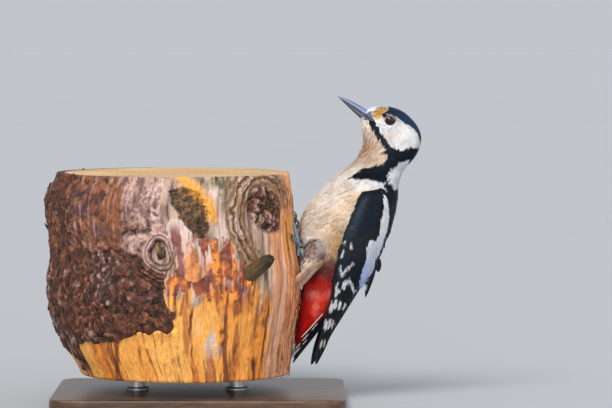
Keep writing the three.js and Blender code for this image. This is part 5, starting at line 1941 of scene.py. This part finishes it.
def standMaterials():
    oak, tree, shader = startMaterial("dark_oak", Roughness=0.38, Specular_IOR_Level=0.45, Coat_Weight=0.25,
        Coat_Roughness=0.25)
    rings = noise(tree, objectCoords(tree, (4, 26, 26)), 5.5, 5, 0.55, 1.2)
    pores = noise(tree, objectCoords(tree, (35, 900, 900)), 1.0, 3, 0.7)
    wood = ramp(tree, rings, (0.3, (0.035, 0.018, 0.010)), (0.5, (0.085, 0.042, 0.021)),
        (0.68, (0.15, 0.078, 0.038)))
    dress(tree, shader, [wood, ramp(tree, pores, (0.38, 0.45), (0.5, 1.0))], pores, 0.25, 0.0003)
    steel, tree, shader = startMaterial("brushed_steel", Roughness=0.34, Metallic=1.0)
    lines = noise(tree, objectCoords(tree, (1, 1, 60)), 160, 4, 0.7)
    dress(tree, shader, [ramp(tree, lines, (0.3, (0.40, 0.40, 0.41)), (0.7, (0.62, 0.62, 0.63)))], lines,
        0.15, 0.0001)
    return oak, steel


darkOak, brushedSteel = standMaterials()


def makeStand():
    corner, segments = stand["corner"], 14
    profile = [(2.0, 0.0), (0.5, 0.0), (0.12, 0.15), (0.0, 0.6)]
    for k in range(9):
        turn = k / 8 * math.pi / 2
        profile.append((stand["bevel"] * (1 - math.cos(turn)),
            stand["thick"] - stand["bevel"] * (1 - math.sin(turn))))
    profile += [(8, stand["thick"]), (30, stand["thick"]), (60, stand["thick"])]
    rings = []
    for inset, height in profile:
        length, width = stand["length"] / 2 - inset, stand["width"] / 2 - inset
        r = max(corner - inset, 1.0)
        turns = [(cx, cy, math.radians(start + 90 * k / segments)) for cx, cy,
            start in ((1, 1, 0), (-1, 1, 90), (-1, -1, 180), (1, -1, 270))
                 for k in range(segments + 1)]
        rings.append([(stand["centreX"] + cx * (length - r) + r * math.cos(t),
            cy * (width - r) + r * math.sin(t), height) for cx, cy, t in turns])
    finishPiece(buildObject("stand_board", *capped(np.array(rings)), darkOak, closed=True), "stand_base",
        "stand_base")
    for index, x in enumerate(rod["x"]):
        low, high = stand["thick"] - rod["inBase"], logShape["bottom"] + rod["inLog"]
        collar = [(low, 6), (8.0, 6), (8.02, 8.6), (9.0, 8.6), (9.6, 8.2), (9.9, 7.4), (10.0, 6), (high, 6)]
        t = fullTurn(64)
        rings = np.array([[(x + r * math.cos(a), r * math.sin(a), z) for a in t] for z, r in collar])
        piece = buildObject(f"stand_post_{index + 1}", *capped(rings), brushedSteel, closed=True)
        piece.data.polygons.foreach_set("use_smooth", np.zeros(len(piece.data.polygons), bool))
        finishPiece(piece, "stand_rod", f"stand_rod_{index + 1}")


makeStand()
print("stand made")
def makeStudio():
    floorMaterial, tree, shader = startMaterial("pale_floor", Roughness=0.8)
    tone = noise(tree, objectCoords(tree), 3, 3)
    dress(tree, shader, [ramp(tree, tone, (0.3, (0.371, 0.391, 0.420)), (0.7, (0.379, 0.399, 0.428)))])
    half = 30000
    floor = buildObject("floor", [(-half, -half, 0), (half, -half, 0), (half, half, 0), (-half, half, 0)],
        [(0, 1, 2, 3)], (), floorMaterial)
    world = bpy.data.worlds.new("studio")
    bpy.context.scene.world = world
    world.use_nodes = True
    world.node_tree.nodes["Background"].inputs["Color"].default_value = (0.90, 0.94, 1.0, 1)
    world.node_tree.nodes["Background"].inputs["Strength"].default_value = 0.60
    bpy.context.scene.view_settings.view_transform = "Standard"
    for name, place, spread, strength, colour in (("key", (-0.6, -1.3, 1.5), 28, 2.65, (1, 0.95, 0.88)),
            ("low", (-0.1, -1.4, 0.12), 50, 1.1, (1, 0.97, 0.93)),
                                                  ("fill", (1.4, -0.9, 0.7), 60, 0.6, (0.92, 0.95, 1)),
                                                  ("rim", (0.7, 1.1, 1.0), 45, 0.4, (0.95, 0.97, 1))):
        lamp = bpy.data.lights.new(name, "SUN")
        lamp.angle, lamp.energy, lamp.color = math.radians(spread), strength, colour
        light = bpy.data.objects.new(name, lamp)
        light.location = place
        light.rotation_euler = (-Vector(place)).to_track_quat("-Z", "Y").to_euler()
        bpy.context.collection.objects.link(light)
    lens = bpy.data.cameras.new("camera")
    lens.sensor_width, lens.lens, lens.clip_end = viewpoint["sensor"], viewpoint["lens"], 200
    camera = bpy.data.objects.new("camera", lens)
    elevation, distance = math.radians(viewpoint["elevation"]), viewpoint["distance"] * mm
    aim = Vector((viewpoint["aimX"] * mm, 0, viewpoint["aimZ"] * mm))
    camera.location = aim + distance * Vector((0, -math.cos(elevation), math.sin(elevation)))
    camera.rotation_euler = (math.pi / 2 - elevation, 0, 0)
    bpy.context.collection.objects.link(camera)
    bpy.context.scene.camera = camera


makeStudio()
print("studio made")
